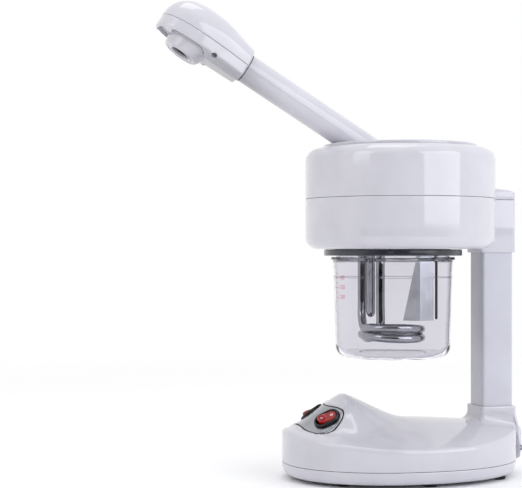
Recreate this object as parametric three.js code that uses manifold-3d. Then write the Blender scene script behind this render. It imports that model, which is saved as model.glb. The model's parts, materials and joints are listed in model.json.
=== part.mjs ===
// Table-top facial steamer: a rounded base with a raised switch hump, a square column, a drum that
// holds a glass water jar under it, and a swivelling arm with a steam head.
// Millimetres, +Z up. Inside the design frame X = 0, Y = 0 is the drum's axis, -X is the front and
// Z = 0 is the table. The finished model is shifted so that its box is centred over the origin.

import * as THREE from 'three';
import { mergeVertices } from 'three/addons/utils/BufferGeometryUtils.js';
import { ParametricGeometry } from 'three/addons/geometries/ParametricGeometry.js';
import Module from 'manifold-3d';

const wasm = await Module();
wasm.setup();

// ---------------------------------------------------------------- driving dimensions

const GAP = 0.3;
const DEGREE = Math.PI / 180;
const ROUND_SIDES = 32;

const BASE = {
  front: 115, rear: 113.5, halfWidth: 84, roundness: 2.15,
  bottomZ: 3, seamZ: 15.5, wall: 2.5, crownZ: 56, sideFall: 18, fallHalfWidth: 80, endFall: 8,
  fallHalfLength: 110,
  rimShare: 0.955, cornerDrop: 5.5,
  trayLevels: [{ draw: 9, rise: 0 }, { draw: 5, rise: 1 }, { draw: 2, rise: 3.4 }, { draw: 0.5, rise: 7 }],
};
const HUMP = {
  ridgeX: -58, ridgeZ: 83.25, frontSlope: 0.75, rearSlope: 0.5, ridgeBlend: 5, sideCurve: 78, blend: 6,
};
const PANEL = {
  x: -83.5, halfLength: 17.8, halfWidth: 37.5, squareness: 2.4, thickness: 2.2, proud: 0.5, clearance: 1,
};
const SWITCH = {
  x: -80.5, y: 23.5, length: 25.4, width: 18, wall: 2.3, proud: 2.6, depth: 12, floor: 3,
  rockerClearance: 0.5, pivotDepth: 1, tilt: 10, wellCorner: 4, holeAbove: 6, holeBelow: -8,
};
const ROCKER = {
  dip: 3.2, rise: 5, endGap: 1.6, skirt: 3, keel: 5.4, keelHalf: 2, corner: 4.4, taper: 1.2,
};
const FOOT = { radius: 6.5, chamfer: 1, places: [[-72, 44], [4, 68], [82, 46]] };
const BASE_SCREWS = {
  places: [[-62, 0], [58, 0]], holeRadius: 4.2, headRadius: 3.8, shankRadius: 1.6, length: 10,
};
const REAR_SCREW = { y: 18.6, z: 24.5, head: 2.6, shank: 1.5, length: 9 };
const BOARD = {
  x0: -45, x1: 35, halfWidth: 32, z: 10.5, thickness: 1.6, holeRadius: 3, holeY: 20,
  transformer: { x0: -38, x1: -12, y0: -26, y1: -4, topZ: 32 },
  fuse: { x: 14, y: -22, radius: 3, halfLength: 12 },
};
const COLUMN = { x: 95.3, length: 32, width: 31, corner: 3, wall: 2, bottomZ: 48.6, topZ: 236 };
const BRACKET = { foot: 2.6, rise: 42, wall: 1.6 };
const WIRING = {
  radius: 3.2,
  route: [
    [-34, 0, 14.5], [-22, 0, 15], [-6, 0, 22], [0, 0, 42], [0, 0, 90], [0, 0, 150], [0, 0, 210],
    [-1, 0, 238], [-10, 0, 250], [-22, 4, 246], [-34, 10, 234], [-44, 16, 228],
  ],
};
const PEDESTAL = {
  topZ: 65, halfLength: 18.8, halfWidth: 18.3, rearX: 117.6, corner: 4, socketZ: 44,
  flare: [
    { z: 15.65, forward: 3, back: 0, wide: 7, corner: 9 },
    { z: 30, forward: 4, back: 0, wide: 7, corner: 8 },
    { z: 44, forward: 6, back: 0.4, wide: 6, corner: 7 },
    { z: 50, forward: 4.5, back: 1.4, wide: 3, corner: 6 },
    { z: 56, forward: 1, back: 2.3, wide: 0.6, corner: 5 },
  ],
  hollow: [
    { z: 0, x0: 66, x1: 115.1, halfY: 22.6, corner: 6 },
    { z: 36, x0: 66, x1: 115.1, halfY: 22.6, corner: 6 },
    { z: 45.6, x0: 77, x1: 113.1, halfY: 19, corner: 5 },
  ],
};
const INLET = {
  z: 32, width: 31, height: 24.4, depth: 17, flange: 2, mouthWidth: 24.6, mouthHeight: 16.8, floor: 1.6,
  bodyHalfWidth: 14.1, bodyHalfHeight: 10.9,
};
const PIN = { spread: 7, halfWidth: 1, halfHeight: 1.9, innerX: -19, outerX: -3 };
const DRUM = {
  radius: 91, bottomZ: 217, seamZ: 265.1, shoulderZ: 298, topZ: 313.3, wall: 2.5, corner: 12,
  mouthRadius: 58,
};
const WIRE_CHAMBER = { x0: 70, halfWidth: 14.5 };
const SLEEVE = { x: 95, halfLength: 18.6, halfWidth: 17.4, bottomZ: 213.9, topZ: 275, corner: 3.5 };
const TURNTABLE = {
  edge: 1.2, dish: 1, dishStart: 5,
  radius: 73.8, topZ: 316.9, thickness: 3.3, skirtOuter: 66, skirtInner: 63, skirtZ: 306,
  slotFront: 67.5, slotRear: 5.5, slotHalfWidth: 14.7, boreRadius: 67.2, retainerRadius: 71.5,
  cheekHalf: 11, cheekInner: 21, cheekOuter: 25, cheekZ: 286.6,
};
const JAR = {
  x: -7.2, mouthRadius: 54.2, flangeRadius: 59.4, flangeTopZ: 209.8, flangeZ: 205.2, neckTopZ: 216,
  topRadius: 57.1, footRadius: 54.4, bottomZ: 113.8, wall: 2.2, corner: 13, footRing: 29,
  footRecess: 1.2, floorExtra: 1.4,
};
const BAYONET = {
  lugs: 3, firstAngle: 30, startZ: 214, turn: 50, drop: 3, lugSpan: 16, lugHeight: 1.6, lugReach: 2.4,
  ledgeHeight: 1.2, ledgeLead: 4, ledgeExtra: 12, ledgeGap: 0.4,
};
const COLLAR = { radius: 66.1, innerRadius: 57.4, bottomZ: 210.9, topZ: 216.7 };
const PLATE = { z: 219.8, thickness: 1.5, radius: 64 };
const GASKET = { innerRadius: 50.4, outerRadius: 55.6 };
const COIL = {
  x: -8.5, radius: 28.3, tube: 4.2, upperZ: 142.6, lowerZ: 132.5, topZ: 236,
  legAngle: 160, innerLegAngle: 217, innerRadius: 19.3, legHeights: [218, 200, 182, 164],
};
const TERMINAL = { radius: 7, height: 8, clearance: 0.5 };
const SENSOR_WELL = { x: -28.9, y: 2, radius: 4.4, tipZ: 152, taper: 4.5 };
const PROBE = { x: 34.4, y: -8, radius: 1.3, tipZ: 150.5, topZ: 232, capRadius: 4 };
const BAFFLE = { x: 12, y: -22, bottomZ: 149, sheet: 1, face: 15.8, faceTurn: 12, wing: 17, wingTurn: 135 };
const STEAM_PORT_RADIUS = 11.5;
const DUCT = {
  innerRadius: 12.6, outerRadius: 14.4, footRadius: 19, neckZ: 268, seatGap: 0.5, wall: 1.8,
  cupLow: -49, cupHigh: -23,
};
const THERMOSTAT = { x: -46, y: -24, radius: 9, shoulderZ: 5, topRadius: 6, height: 8 };
const OZONE_LAMP = { x: 20, y: 52, radius: 5, halfLength: 18, lift: 8 };
const ARM = {
  pivotZ: 292, rise: 31.6, tubeRadius: 13.65, tubeWall: 1.8, ballRadius: 20, ballWall: 2.8, start: 10.5,
  headStart: 182, tubeInHead: 24, mouthRadius: 12, mouthLean: 12.5,
};
const PIVOT = { radius: 3.1, clearance: 0.3, innerY: 15, outerY: 26.5 };
const HEAD = {
  length: 89.2, partZ: -1.5, wall: 2.2, rearTop: 16.2, top: 26.6, topAt: 54, edgeZ: -12, keelZ: -16.3,
  keelShare: 0.38, edgeCorner: 1.5, rearHalfWidth: 19.7, halfWidth: 27.5, widestAt: 52, noseSquareness: 2.3,
  growFrom: -20, domeSquareness: 2.35, tubePlay: 0.5,
};
const NOZZLE = {
  x: 56.7, mouthRadius: 9.1, faceRadius: 17, rootRadius: 21.5, rootX: 52.5, faceZ: -23, rootZ: -9.7,
  wall: 1.6, faceSlope: 0.078, skirtWall: 2, play: 0.4,
};
const POCKET = { floorZ: -9.4, thickness: 1.8, rimInset: 2.4, rearReach: 17, tubReach: 24 };
const HEAD_SCREW = { x: 31.7, y: 24.2, z: -12, lean: 42, recess: 3, recessDepth: 4.9, shank: 1.3, boss: 4.6 };
const HOSE = { route: [[26, 0], [38, 0], [48, -0.2], [53.5, -2], [56.7, -6.6]], slack: 1.6, wall: 1.4 };
const SWIVEL_RING = { thickness: 1.1, x0: 3, x1: 12 };

// ---------------------------------------------------------------- materials

const finish = (color, roughness, metalness = 0) => ({ color, roughness, metalness });
const FINISH = {
  shell: finish('#eceaf4', 0.22),
  innerShell: finish('#dcdbe4', 0.45),
  black: finish('#14151b', 0.3),
  rubber: finish('#1d1d20', 0.85),
  silver: finish('#b9bcc6', 0.35, 0.6),
  red: finish('#c4232b', 0.3),
  steel: finish('#c9ccd2', 0.22, 1),
  brass: finish('#c9a34e', 0.35, 1),
  glass: finish('#dfe9f2', 0.04),
  seal: finish('#e4e6ea', 0.7),
  board: finish('#1f6b3b', 0.6),
  ceramic: finish('#efe9dc', 0.5),
  copper: finish('#b5552f', 0.5),
};

function part(name, geometry, look) {
  const mesh = new THREE.Mesh(geometry, new THREE.MeshStandardMaterial(look));
  mesh.name = name;
  return mesh;
}

// ---------------------------------------------------------------- solids, joins and cuts

function toSolid(geometry) {
  const bare = geometry.clone();
  bare.deleteAttribute('normal');
  bare.deleteAttribute('uv');
  const merged = mergeVertices(bare, 1e-4);
  const points = merged.attributes.position;
  const triangles = [];
  for (let i = 0; i < merged.index.count; i += 3) {
    const corners = [0, 1, 2].map((k) => merged.index.getX(i + k));
    if (new Set(corners).size === 3) triangles.push(...corners);
  }
  if (signedVolume(points, triangles) < 0) triangles.reverse();
  return new wasm.Manifold(new wasm.Mesh({
    numProp: 3,
    vertProperties: new Float32Array(points.array),
    triVerts: new Uint32Array(triangles),
  }));
}

function signedVolume(points, triangles) {
  let volume = 0;
  for (let i = 0; i < triangles.length; i += 3) {
    const [a, b, c] = [0, 1, 2].map((k) => new THREE.Vector3().fromBufferAttribute(points, triangles[i + k]));
    volume += a.dot(b.cross(c)) / 6;
  }
  return volume;
}

function fromSolid(solid) {
  const mesh = solid.getMesh();
  const geometry = new THREE.BufferGeometry();
  geometry.setAttribute('position', new THREE.BufferAttribute(new Float32Array(mesh.vertProperties), 3));
  geometry.setIndex(new THREE.BufferAttribute(new Uint32Array(mesh.triVerts), 1));
  return geometry;
}

function combine(operation, first, others) {
  return fromSolid(others.reduce((solid, other) => solid[operation](toSolid(other)), toSolid(first)));
}
const join = (first, ...others) => combine('add', first, others);
const cut = (first, ...others) => combine('subtract', first, others);
const overlap = (first, ...others) => combine('intersect', first, others);

// ---------------------------------------------------------------- shape helpers

function upright(radius, z0, z1, x = 0, y = 0, sides = 24) {
  return new THREE.CylinderGeometry(radius, radius, z1 - z0, sides).rotateX(Math.PI / 2)
    .translate(x, y, (z0 + z1) / 2);
}

function alongX(radius, x0, x1, sides = 24) {
  return new THREE.CylinderGeometry(radius, radius, x1 - x0, sides).rotateZ(Math.PI / 2)
    .translate((x0 + x1) / 2, 0, 0);
}

function alongY(radius, y0, y1, sides = 20) {
  return new THREE.CylinderGeometry(radius, radius, y1 - y0, sides).translate(0, (y0 + y1) / 2, 0);
}

function block(x0, x1, y0, y1, z0, z1) {
  return new THREE.BoxGeometry(x1 - x0, y1 - y0, z1 - z0)
    .translate((x0 + x1) / 2, (y0 + y1) / 2, (z0 + z1) / 2);
}

// Turns a closed outline of [radius, z] points about the vertical line through x.
function turned(outline, sides = ROUND_SIDES, x = 0) {
  const points = outline.map(([radius, z]) => new THREE.Vector2(radius, z));
  return new THREE.LatheGeometry(points, sides).rotateX(Math.PI / 2).translate(x, 0, 0);
}

// Points of an arc in a lathe outline, from one angle to another in degrees.
function arc(centreR, centreZ, radius, from, to, steps = 3) {
  return Array.from({ length: steps + 1 }, (_, i) => {
    const angle = (from + (to - from) * i / steps) * DEGREE;
    return [centreR + radius * Math.cos(angle), centreZ + radius * Math.sin(angle)];
  });
}

function roundedRectangle(halfX, halfY, corner) {
  const shape = new THREE.Shape();
  shape.absarc(halfX - corner, halfY - corner, corner, 0, Math.PI / 2);
  shape.absarc(corner - halfX, halfY - corner, corner, Math.PI / 2, Math.PI);
  shape.absarc(corner - halfX, corner - halfY, corner, Math.PI, 1.5 * Math.PI);
  shape.absarc(halfX - corner, corner - halfY, corner, 1.5 * Math.PI, 2 * Math.PI);
  shape.closePath();
  return shape;
}

function prism(shape, z0, z1, curveSegments = 2) {
  return new THREE.ExtrudeGeometry(shape, { depth: z1 - z0, bevelEnabled: false, curveSegments })
    .translate(0, 0, z0);
}

// A round bar along a curve, or a hose when it has a bore.
function pipe(points, radius, steps, sides = 8, bore = 0) {
  const circle = new THREE.Shape().absarc(0, 0, radius, 0, 2 * Math.PI);
  if (bore > 0) circle.holes.push(new THREE.Path().absarc(0, 0, bore, 0, 2 * Math.PI));
  return new THREE.ExtrudeGeometry(circle, {
    steps, curveSegments: sides / 2, bevelEnabled: false,
    extrudePath: new THREE.CatmullRomCurve3(points, false, 'centripetal'),
  });
}

// A closed skin through rings of points, each with the same number of points. The first and last
// ring close onto their own centres.
function skin(rings) {
  const middle = (ring) => {
    const centre = ring.reduce((sum, p) => sum.add(p), new THREE.Vector3()).divideScalar(ring.length);
    return ring.map(() => centre);
  };
  const rows = [middle(rings[0]), ...rings, middle(rings.at(-1))];
  const count = rings[0].length;
  const place = (u, v, target) => {
    const row = rows[Math.round(u * (rows.length - 1))];
    target.copy(row[Math.round(v * count) % count]);
  };
  return new ParametricGeometry(place, rows.length - 1, count);
}

// Rings for a rounded rectangular body: each level is {z, x0, x1, halfY, corner}.
function rectangularRings(levels) {
  return levels.map(({ z, x0, x1, halfY, corner }) => {
    const outline = roundedRectangle((x1 - x0) / 2, halfY, corner).getPoints(2);
    outline.pop();
    return outline.map((p) => new THREE.Vector3(p.x + (x0 + x1) / 2, p.y, z));
  });
}

// ---------------------------------------------------------------- the base's surface

function smoothMax(a, b, blend) {
  return (a + b + Math.hypot(a - b, blend)) / 2;
}

function smoothMin(a, b, blend) {
  return (a + b - Math.hypot(a - b, blend)) / 2;
}

// Height of the base's outside top above the table.
function topHeight(x, y) {
  const dome = BASE.crownZ - BASE.sideFall * (y / BASE.fallHalfWidth) ** 2
    - BASE.endFall * (x / BASE.fallHalfLength) ** 2;
  const front = HUMP.ridgeZ + (x - HUMP.ridgeX) * HUMP.frontSlope;
  const rear = HUMP.ridgeZ - (x - HUMP.ridgeX) * HUMP.rearSlope;
  const hump = smoothMin(front, rear, HUMP.ridgeBlend) - y * y / HUMP.sideCurve;
  return smoothMax(dome, hump, HUMP.blend) - HUMP.blend / 4;
}

function topNormal(x, y) {
  const step = 0.5;
  const slopeX = (topHeight(x + step, y) - topHeight(x - step, y)) / (2 * step);
  const slopeY = (topHeight(x, y + step) - topHeight(x, y - step)) / (2 * step);
  return new THREE.Vector3(-slopeX, -slopeY, 1).normalize();
}

// A point a given distance outside the top surface.
function offTop(x, y, distance) {
  return new THREE.Vector3(x, y, topHeight(x, y)).addScaledVector(topNormal(x, y), distance);
}

// The base's outline in plan at an angle, drawn in by an inset.
function basePlan(angle, inset = 0) {
  const power = 2 / BASE.roundness;
  const cos = Math.cos(angle);
  const sin = Math.sin(angle);
  const reach = (cos < 0 ? BASE.front : BASE.rear) - inset;
  return new THREE.Vector2(
    Math.sign(cos) * reach * Math.abs(cos) ** power,
    Math.sign(sin) * (BASE.halfWidth - inset) * Math.abs(sin) ** power,
  );
}

function planRing(count, pointAt) {
  return Array.from({ length: count }, (_, i) => pointAt(2 * Math.PI * i / count));
}

// Rings of one face of the upper shell, from the crown out to the rim and down to the seam. The
// shares are how far out each ring of the top lies.
function upperShellRings(inset, seamZ, shares) {
  const sides = ROUND_SIDES;
  const rings = shares.map((share) => planRing(sides, (angle) => {
    const p = basePlan(angle, inset).multiplyScalar(share);
    return new THREE.Vector3(p.x, p.y, topHeight(p.x, p.y) - inset);
  }));
  for (const turn of [45, 90]) {
    rings.push(planRing(sides, (angle) => {
      const edge = basePlan(angle, inset).multiplyScalar(BASE.rimShare);
      const share = BASE.rimShare + (1 - BASE.rimShare) * Math.sin(turn * DEGREE);
      const p = basePlan(angle, inset).multiplyScalar(share);
      const drop = BASE.cornerDrop * (1 - Math.cos(turn * DEGREE));
      return new THREE.Vector3(p.x, p.y, topHeight(edge.x, edge.y) - inset - drop);
    }));
  }
  rings.push(planRing(sides, (angle) => {
    const p = basePlan(angle, inset);
    return new THREE.Vector3(p.x, p.y, seamZ);
  }));
  return rings;
}

// Rings of one face of the lower tray, from the middle out and up to the seam.
function lowerShellRings(inset, seamZ) {
  const rings = BASE.trayLevels.map(({ draw, rise }) => planRing(ROUND_SIDES, (angle) => {
    const p = basePlan(angle, draw + inset);
    return new THREE.Vector3(p.x, p.y, BASE.bottomZ + rise + inset);
  }));
  rings.push(planRing(ROUND_SIDES, (angle) => {
    const p = basePlan(angle, inset);
    return new THREE.Vector3(p.x, p.y, seamZ);
  }));
  return rings;
}

// Rings of the switch panel, or of the hole for it when it is drawn larger.
function panelBody(grow, outside, inside) {
  const square = (value) => Math.sign(value) * Math.abs(value) ** (2 / PANEL.squareness);
  const ring = (share, distance) => planRing(24, (angle) => offTop(
    PANEL.x + (PANEL.halfLength + grow) * share * square(Math.cos(angle)),
    (PANEL.halfWidth + grow) * share * square(Math.sin(angle)),
    distance,
  ));
  const shares = [0.5, 1];
  return skin([
    ...shares.map((share) => ring(share, outside)),
    ...shares.toReversed().map((share) => ring(share, inside)),
  ]);
}

// ---------------------------------------------------------------- switches

// Places a group on the base's top surface, its z outwards and its x up the slope.
function placeOnTop(object, x, y) {
  const normal = topNormal(x, y);
  const across = new THREE.Vector3().crossVectors(normal, new THREE.Vector3(1, 0, 0)).normalize();
  const along = new THREE.Vector3().crossVectors(across, normal);
  object.quaternion.setFromRotationMatrix(new THREE.Matrix4().makeBasis(along, across, normal));
  object.position.copy(offTop(x, y, PANEL.proud));
  object.updateMatrix();
  return object;
}

function switchBody(grow) {
  const halfX = SWITCH.length / 2 + grow;
  const halfY = SWITCH.width / 2 + grow;
  return prism(roundedRectangle(halfX, halfY, halfY - 0.2), -SWITCH.depth - grow, SWITCH.proud, 4);
}

function switchHoles() {
  return [-1, 1].map((side) => {
    const frame = placeOnTop(new THREE.Object3D(), SWITCH.x, side * SWITCH.y);
    return switchBody(GAP).applyMatrix4(frame.matrix);
  });
}

function switchBezel() {
  const halfX = SWITCH.length / 2 - SWITCH.wall;
  const halfY = SWITCH.width / 2 - SWITCH.wall;
  const outline = roundedRectangle(halfX, halfY, SWITCH.wellCorner);
  const well = prism(outline, SWITCH.floor - SWITCH.depth, SWITCH.proud + 1);
  return cut(switchBody(0), well);
}

function rocker() {
  const { dip, rise, endGap, skirt, keel, keelHalf, corner, taper } = ROCKER;
  const end = SWITCH.length / 2 - SWITCH.wall - endGap;
  const side = SWITCH.width / 2 - SWITCH.wall - SWITCH.rockerClearance;
  const profile = new THREE.Shape([
    [-end, rise], [0, dip], [end, rise], [end - taper, -skirt], [keelHalf, -keel], [-keelHalf, -keel],
    [taper - end, -skirt],
  ].map(([x, z]) => new THREE.Vector2(x, z)));
  const body = new THREE.ExtrudeGeometry(profile, { depth: 2 * side, bevelEnabled: false })
    .rotateX(Math.PI / 2)
    .translate(0, side, 0);
  return overlap(body, prism(roundedRectangle(end + 1, side, corner), -10, 10));
}

function switchGroup(name, side) {
  const group = placeOnTop(new THREE.Group(), SWITCH.x, side * SWITCH.y);
  const lever = part(`${name}_rocker`, rocker(), FINISH.red);
  lever.position.z = -SWITCH.pivotDepth;
  lever.rotation.y = SWITCH.tilt * DEGREE;
  group.add(part(`${name}_switch_bezel`, switchBezel(), FINISH.black), lever);
  return group;
}

// ---------------------------------------------------------------- base

function pedestalBody() {
  const { topZ, halfLength, halfWidth, rearX, corner, flare } = PEDESTAL;
  const front = COLUMN.x - halfLength;
  const levels = flare.map((level) => ({
    z: level.z,
    x0: front - level.forward,
    x1: rearX - level.back,
    halfY: halfWidth + level.wide,
    corner: level.corner,
  }));
  const rim = { z: topZ, x0: front, x1: COLUMN.x + halfLength, halfY: halfWidth, corner };
  return skin(rectangularRings([...levels, rim]));
}

// The space that the column stands in, from one height to another.
function columnSocket(z0, z1) {
  const outline = roundedRectangle(COLUMN.length / 2 + GAP, COLUMN.width / 2 + GAP, COLUMN.corner);
  return prism(outline, z0, z1).translate(COLUMN.x, 0, 0);
}

function rearHole(radius, y, z) {
  return alongX(radius, 105, 125, 16).translate(0, y, z);
}

function baseUpperShell() {
  const seamZ = BASE.seamZ + GAP / 2;
  const casing = skin([
    ...upperShellRings(0, seamZ, [0.18, 0.36, 0.5, 0.62, 0.73, 0.84, BASE.rimShare]),
    ...upperShellRings(BASE.wall, seamZ, [0.36, 0.62, 0.84, BASE.rimShare]).reverse(),
  ]);
  const hollow = skin(rectangularRings(PEDESTAL.hollow));
  const socket = columnSocket(PEDESTAL.socketZ, PEDESTAL.topZ + 15);
  const inletY = INLET.bodyHalfWidth + GAP;
  const inletZ = INLET.bodyHalfHeight + GAP;
  const inletHole = block(100, 125, -inletY, inletY, INLET.z - inletZ, INLET.z + inletZ);
  return cut(
    join(casing, pedestalBody()),
    hollow,
    socket,
    inletHole,
    panelBody(PANEL.clearance, SWITCH.holeAbove, SWITCH.holeBelow),
    ...switchHoles(),
    rearHole(REAR_SCREW.shank + GAP, REAR_SCREW.y, REAR_SCREW.z),
    rearHole(REAR_SCREW.shank + GAP, -REAR_SCREW.y, REAR_SCREW.z),
  );
}

function baseLowerShell() {
  const seamZ = BASE.seamZ - GAP / 2;
  const tray = skin([
    ...lowerShellRings(0, seamZ),
    ...lowerShellRings(BASE.wall, seamZ).reverse(),
  ]);
  return cut(tray, ...BASE_SCREWS.places.map(([x, y]) => upright(BASE_SCREWS.holeRadius, 0, 12, x, y)));
}

function baseScrew() {
  const { headRadius, shankRadius, length } = BASE_SCREWS;
  return turned([
    [0, 0], [headRadius, 0], [headRadius, 1], [headRadius - 1.4, 2], [shankRadius, 2.2],
    [shankRadius, length - 1], [0, length],
  ], 12);
}

function switchPanel() {
  return cut(panelBody(0, PANEL.proud, PANEL.proud - PANEL.thickness), ...switchHoles());
}

// Runs along +x from its outside face at x = 0 into the base.
function powerInlet() {
  const { height, width, depth, flange, mouthWidth, mouthHeight, floor } = INLET;
  const plate = prism(roundedRectangle(height / 2, width / 2, 3), 0, flange);
  const body = prism(roundedRectangle(INLET.bodyHalfHeight, INLET.bodyHalfWidth, 2), -depth, flange / 2);
  const mouth = prism(roundedRectangle(mouthHeight / 2, mouthWidth / 2, 3), floor - depth, flange + 1);
  const slotY = PIN.halfWidth + 0.4;
  const slotX = PIN.halfHeight + GAP;
  const slots = [-1, 0, 1].map((side) => {
    const y = side * PIN.spread;
    return block(-slotX, slotX, y - slotY, y + slotY, -depth - 1, floor);
  });
  return cut(join(plate, body), mouth, ...slots)
    .rotateZ(Math.PI)
    .rotateY(Math.PI / 2);
}

function feet() {
  const { radius, chamfer, places } = FOOT;
  const topZ = BASE.bottomZ - GAP;
  const outline = [[0, 0], [radius - chamfer, 0], [radius, chamfer], [radius, topZ], [0, topZ]];
  return places.flatMap(([x, y], row) => [-1, 1].map((side) => {
    const foot = part(`foot_${row + 1}_${side < 0 ? 'near' : 'far'}`, turned(outline, 12), FINISH.rubber);
    foot.position.set(x, side * y, 0);
    return foot;
  }));
}

function inletPins() {
  const { spread, halfWidth, halfHeight, innerX, outerX } = PIN;
  return [['earth', 0], ['live', -spread], ['neutral', spread]].map(([name, y]) => {
    const bar = block(innerX, outerX, y - halfWidth, y + halfWidth, -halfHeight, halfHeight);
    const pin = part(`inlet_pin_${name}`, bar, FINISH.brass);
    pin.position.set(PEDESTAL.rearX, 0, INLET.z);
    return pin;
  });
}

function rearScrews() {
  const { head, shank, length, y, z } = REAR_SCREW;
  const outline = [
    [0, -length], [shank, 1 - length], [shank, 0], [head, 0], [head, 1], [head - 1, 1.9], [0, 1.9],
  ];
  return [-1, 1].map((side) => {
    const screw = part(`rear_screw_${side < 0 ? 'near' : 'far'}`, turned(outline, 12), FINISH.steel);
    screw.rotation.y = Math.PI / 2;
    screw.position.set(PEDESTAL.rearX + GAP, side * y, z);
    return screw;
  });
}

function controlBoard() {
  const { x0, x1, halfWidth, z, thickness, holeRadius, holeY, transformer, fuse } = BOARD;
  const topZ = z + thickness;
  const sheet = cut(block(x0, x1, -halfWidth, halfWidth, z, topZ), upright(holeRadius, 5, 20, 0, holeY));
  const { x0: left, x1: right, y0, y1 } = transformer;
  const coil = block(left, right, y0, y1, topZ + GAP, transformer.topZ);
  const tube = alongX(fuse.radius, -fuse.halfLength, fuse.halfLength, 12)
    .translate(fuse.x, fuse.y, topZ + GAP + fuse.radius);
  return [
    part('control_board', sheet, FINISH.board),
    part('ozone_transformer', coil, FINISH.copper),
    part('board_fuse', tube, FINISH.ceramic),
  ];
}

function baseGroup() {
  const group = new THREE.Group();
  group.add(part('base_lower_shell', baseLowerShell(), FINISH.shell));
  group.add(part('base_upper_shell', baseUpperShell(), FINISH.shell));
  group.add(part('switch_panel', switchPanel(), FINISH.silver));
  group.add(switchGroup('steam', -1), switchGroup('ozone', 1));
  group.add(...feet());
  BASE_SCREWS.places.forEach(([x, y], i) => {
    const screw = part(`base_screw_${i + 1}`, baseScrew(), FINISH.steel);
    screw.position.set(x, y, BASE.bottomZ + 0.6);
    group.add(screw);
  });
  const inlet = part('power_inlet', powerInlet(), FINISH.innerShell);
  inlet.position.set(PEDESTAL.rearX + GAP, 0, INLET.z);
  group.add(inlet);
  group.add(...inletPins());
  group.add(...rearScrews());
  group.add(...controlBoard());
  return group;
}

// ---------------------------------------------------------------- column

function columnGroup() {
  const group = new THREE.Group();
  group.position.x = COLUMN.x;
  const { length, width, corner, wall, bottomZ, topZ } = COLUMN;
  const tube = cut(
    prism(roundedRectangle(length / 2, width / 2, corner), bottomZ, topZ),
    prism(roundedRectangle(length / 2 - wall, width / 2 - wall, corner - 1), bottomZ - 1, topZ + 1),
  );
  group.add(part('column', tube, FINISH.shell));

  const halfX = length / 2 - wall - GAP;
  const halfY = width / 2 - wall - GAP;
  const foot = roundedRectangle(length / 2 - GAP, width / 2 - GAP, corner);
  const bore = roundedRectangle(halfX - BRACKET.wall, halfY - BRACKET.wall, 1.5);
  const bracket = cut(
    join(
      prism(foot, bottomZ - BRACKET.foot, bottomZ - GAP),
      prism(roundedRectangle(halfX, halfY, 2), bottomZ - 1, bottomZ + BRACKET.rise),
    ),
    prism(bore, bottomZ - 8, bottomZ + BRACKET.rise + 1),
  );
  group.add(part('column_bracket', bracket, FINISH.steel));

  const wiring = pipe(WIRING.route.map((p) => new THREE.Vector3(...p)), WIRING.radius, 36, 6);
  group.add(part('column_wiring', wiring, FINISH.rubber));
  return group;
}

// ---------------------------------------------------------------- drum housing

function sleeveBody(z0, z1, topCorner) {
  const { x, halfLength, halfWidth, corner } = SLEEVE;
  const level = (z, inset) => ({
    z, x0: x - halfLength + inset, x1: x + halfLength - inset, halfY: halfWidth - inset, corner,
  });
  const levels = [level(z0, 0), level(z1 - topCorner, 0)];
  if (topCorner > 0) levels.push(level(z1 - topCorner * 0.3, topCorner * 0.3), level(z1, topCorner));
  return skin(rectangularRings(levels));
}

function wireChamber(z0, z1) {
  const { x0, halfWidth } = WIRE_CHAMBER;
  return block(x0, SLEEVE.x + SLEEVE.halfLength - DRUM.wall, -halfWidth, halfWidth, z0, z1);
}

function housingLowerShell() {
  const { radius, bottomZ, seamZ, wall, corner } = DRUM;
  const rimZ = seamZ - GAP / 2;
  const bowl = turned([
    [0, bottomZ],
    ...arc(radius - corner, bottomZ + corner, corner, -90, 0),
    [radius, rimZ],
    [radius - wall, rimZ],
    ...arc(radius - corner, bottomZ + corner, corner - wall, 0, -90),
    [0, bottomZ + wall],
  ]);
  return cut(
    join(bowl, sleeveBody(SLEEVE.bottomZ, rimZ, 0)),
    columnSocket(SLEEVE.bottomZ - 1, COLUMN.topZ + 2),
    wireChamber(COLUMN.topZ + 1, rimZ + 1),
    upright(DRUM.mouthRadius, bottomZ - 1, bottomZ + wall + 1, JAR.x, 0, ROUND_SIDES),
  );
}

function housingUpperShell() {
  const { radius, seamZ, shoulderZ, topZ, wall } = DRUM;
  const footZ = seamZ + GAP / 2;
  const shoulder = topZ - shoulderZ;
  const bore = TURNTABLE.boreRadius;
  const dome = turned([
    [radius, footZ],
    ...arc(radius - shoulder, shoulderZ, shoulder, 0, 90, 5),
    [bore, topZ],
    [bore, topZ - wall],
    ...arc(radius - shoulder, shoulderZ, shoulder - wall, 90, 0, 3),
    [radius - wall, footZ],
    [radius, footZ],
  ]);
  const cap = sleeveBody(footZ, SLEEVE.topZ, 3);
  const drumInside = upright(radius - wall, footZ - 1, SLEEVE.topZ + 1, 0, 0, ROUND_SIDES);
  return cut(join(dome, cut(cap, drumInside)), wireChamber(footZ - 1, SLEEVE.topZ - wall));
}

// A slice of a flat ring whose z sinks as the angle grows, like a piece of screw thread.
function threadPiece(innerRadius, outerRadius, z0, z1, span, lead) {
  const slice = new THREE.Shape();
  slice.absarc(0, 0, outerRadius, 0, span * DEGREE, false);
  slice.absarc(0, 0, innerRadius, span * DEGREE, 0, true);
  slice.closePath();
  const piece = prism(slice, z0, z1, 2).rotateZ(lead * DEGREE);
  const points = piece.attributes.position;
  for (let i = 0; i < points.count; i += 1) {
    const angle = Math.atan2(points.getY(i), points.getX(i)) / DEGREE;
    points.setZ(i, points.getZ(i) - angle * BAYONET.drop / BAYONET.turn);
  }
  return piece;
}

function aroundJar(makePiece) {
  return Array.from({ length: BAYONET.lugs }, (_, i) => {
    const turn = BAYONET.firstAngle + 360 * i / BAYONET.lugs;
    return makePiece().rotateZ(turn * DEGREE).translate(JAR.x, 0, 0);
  });
}

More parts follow.
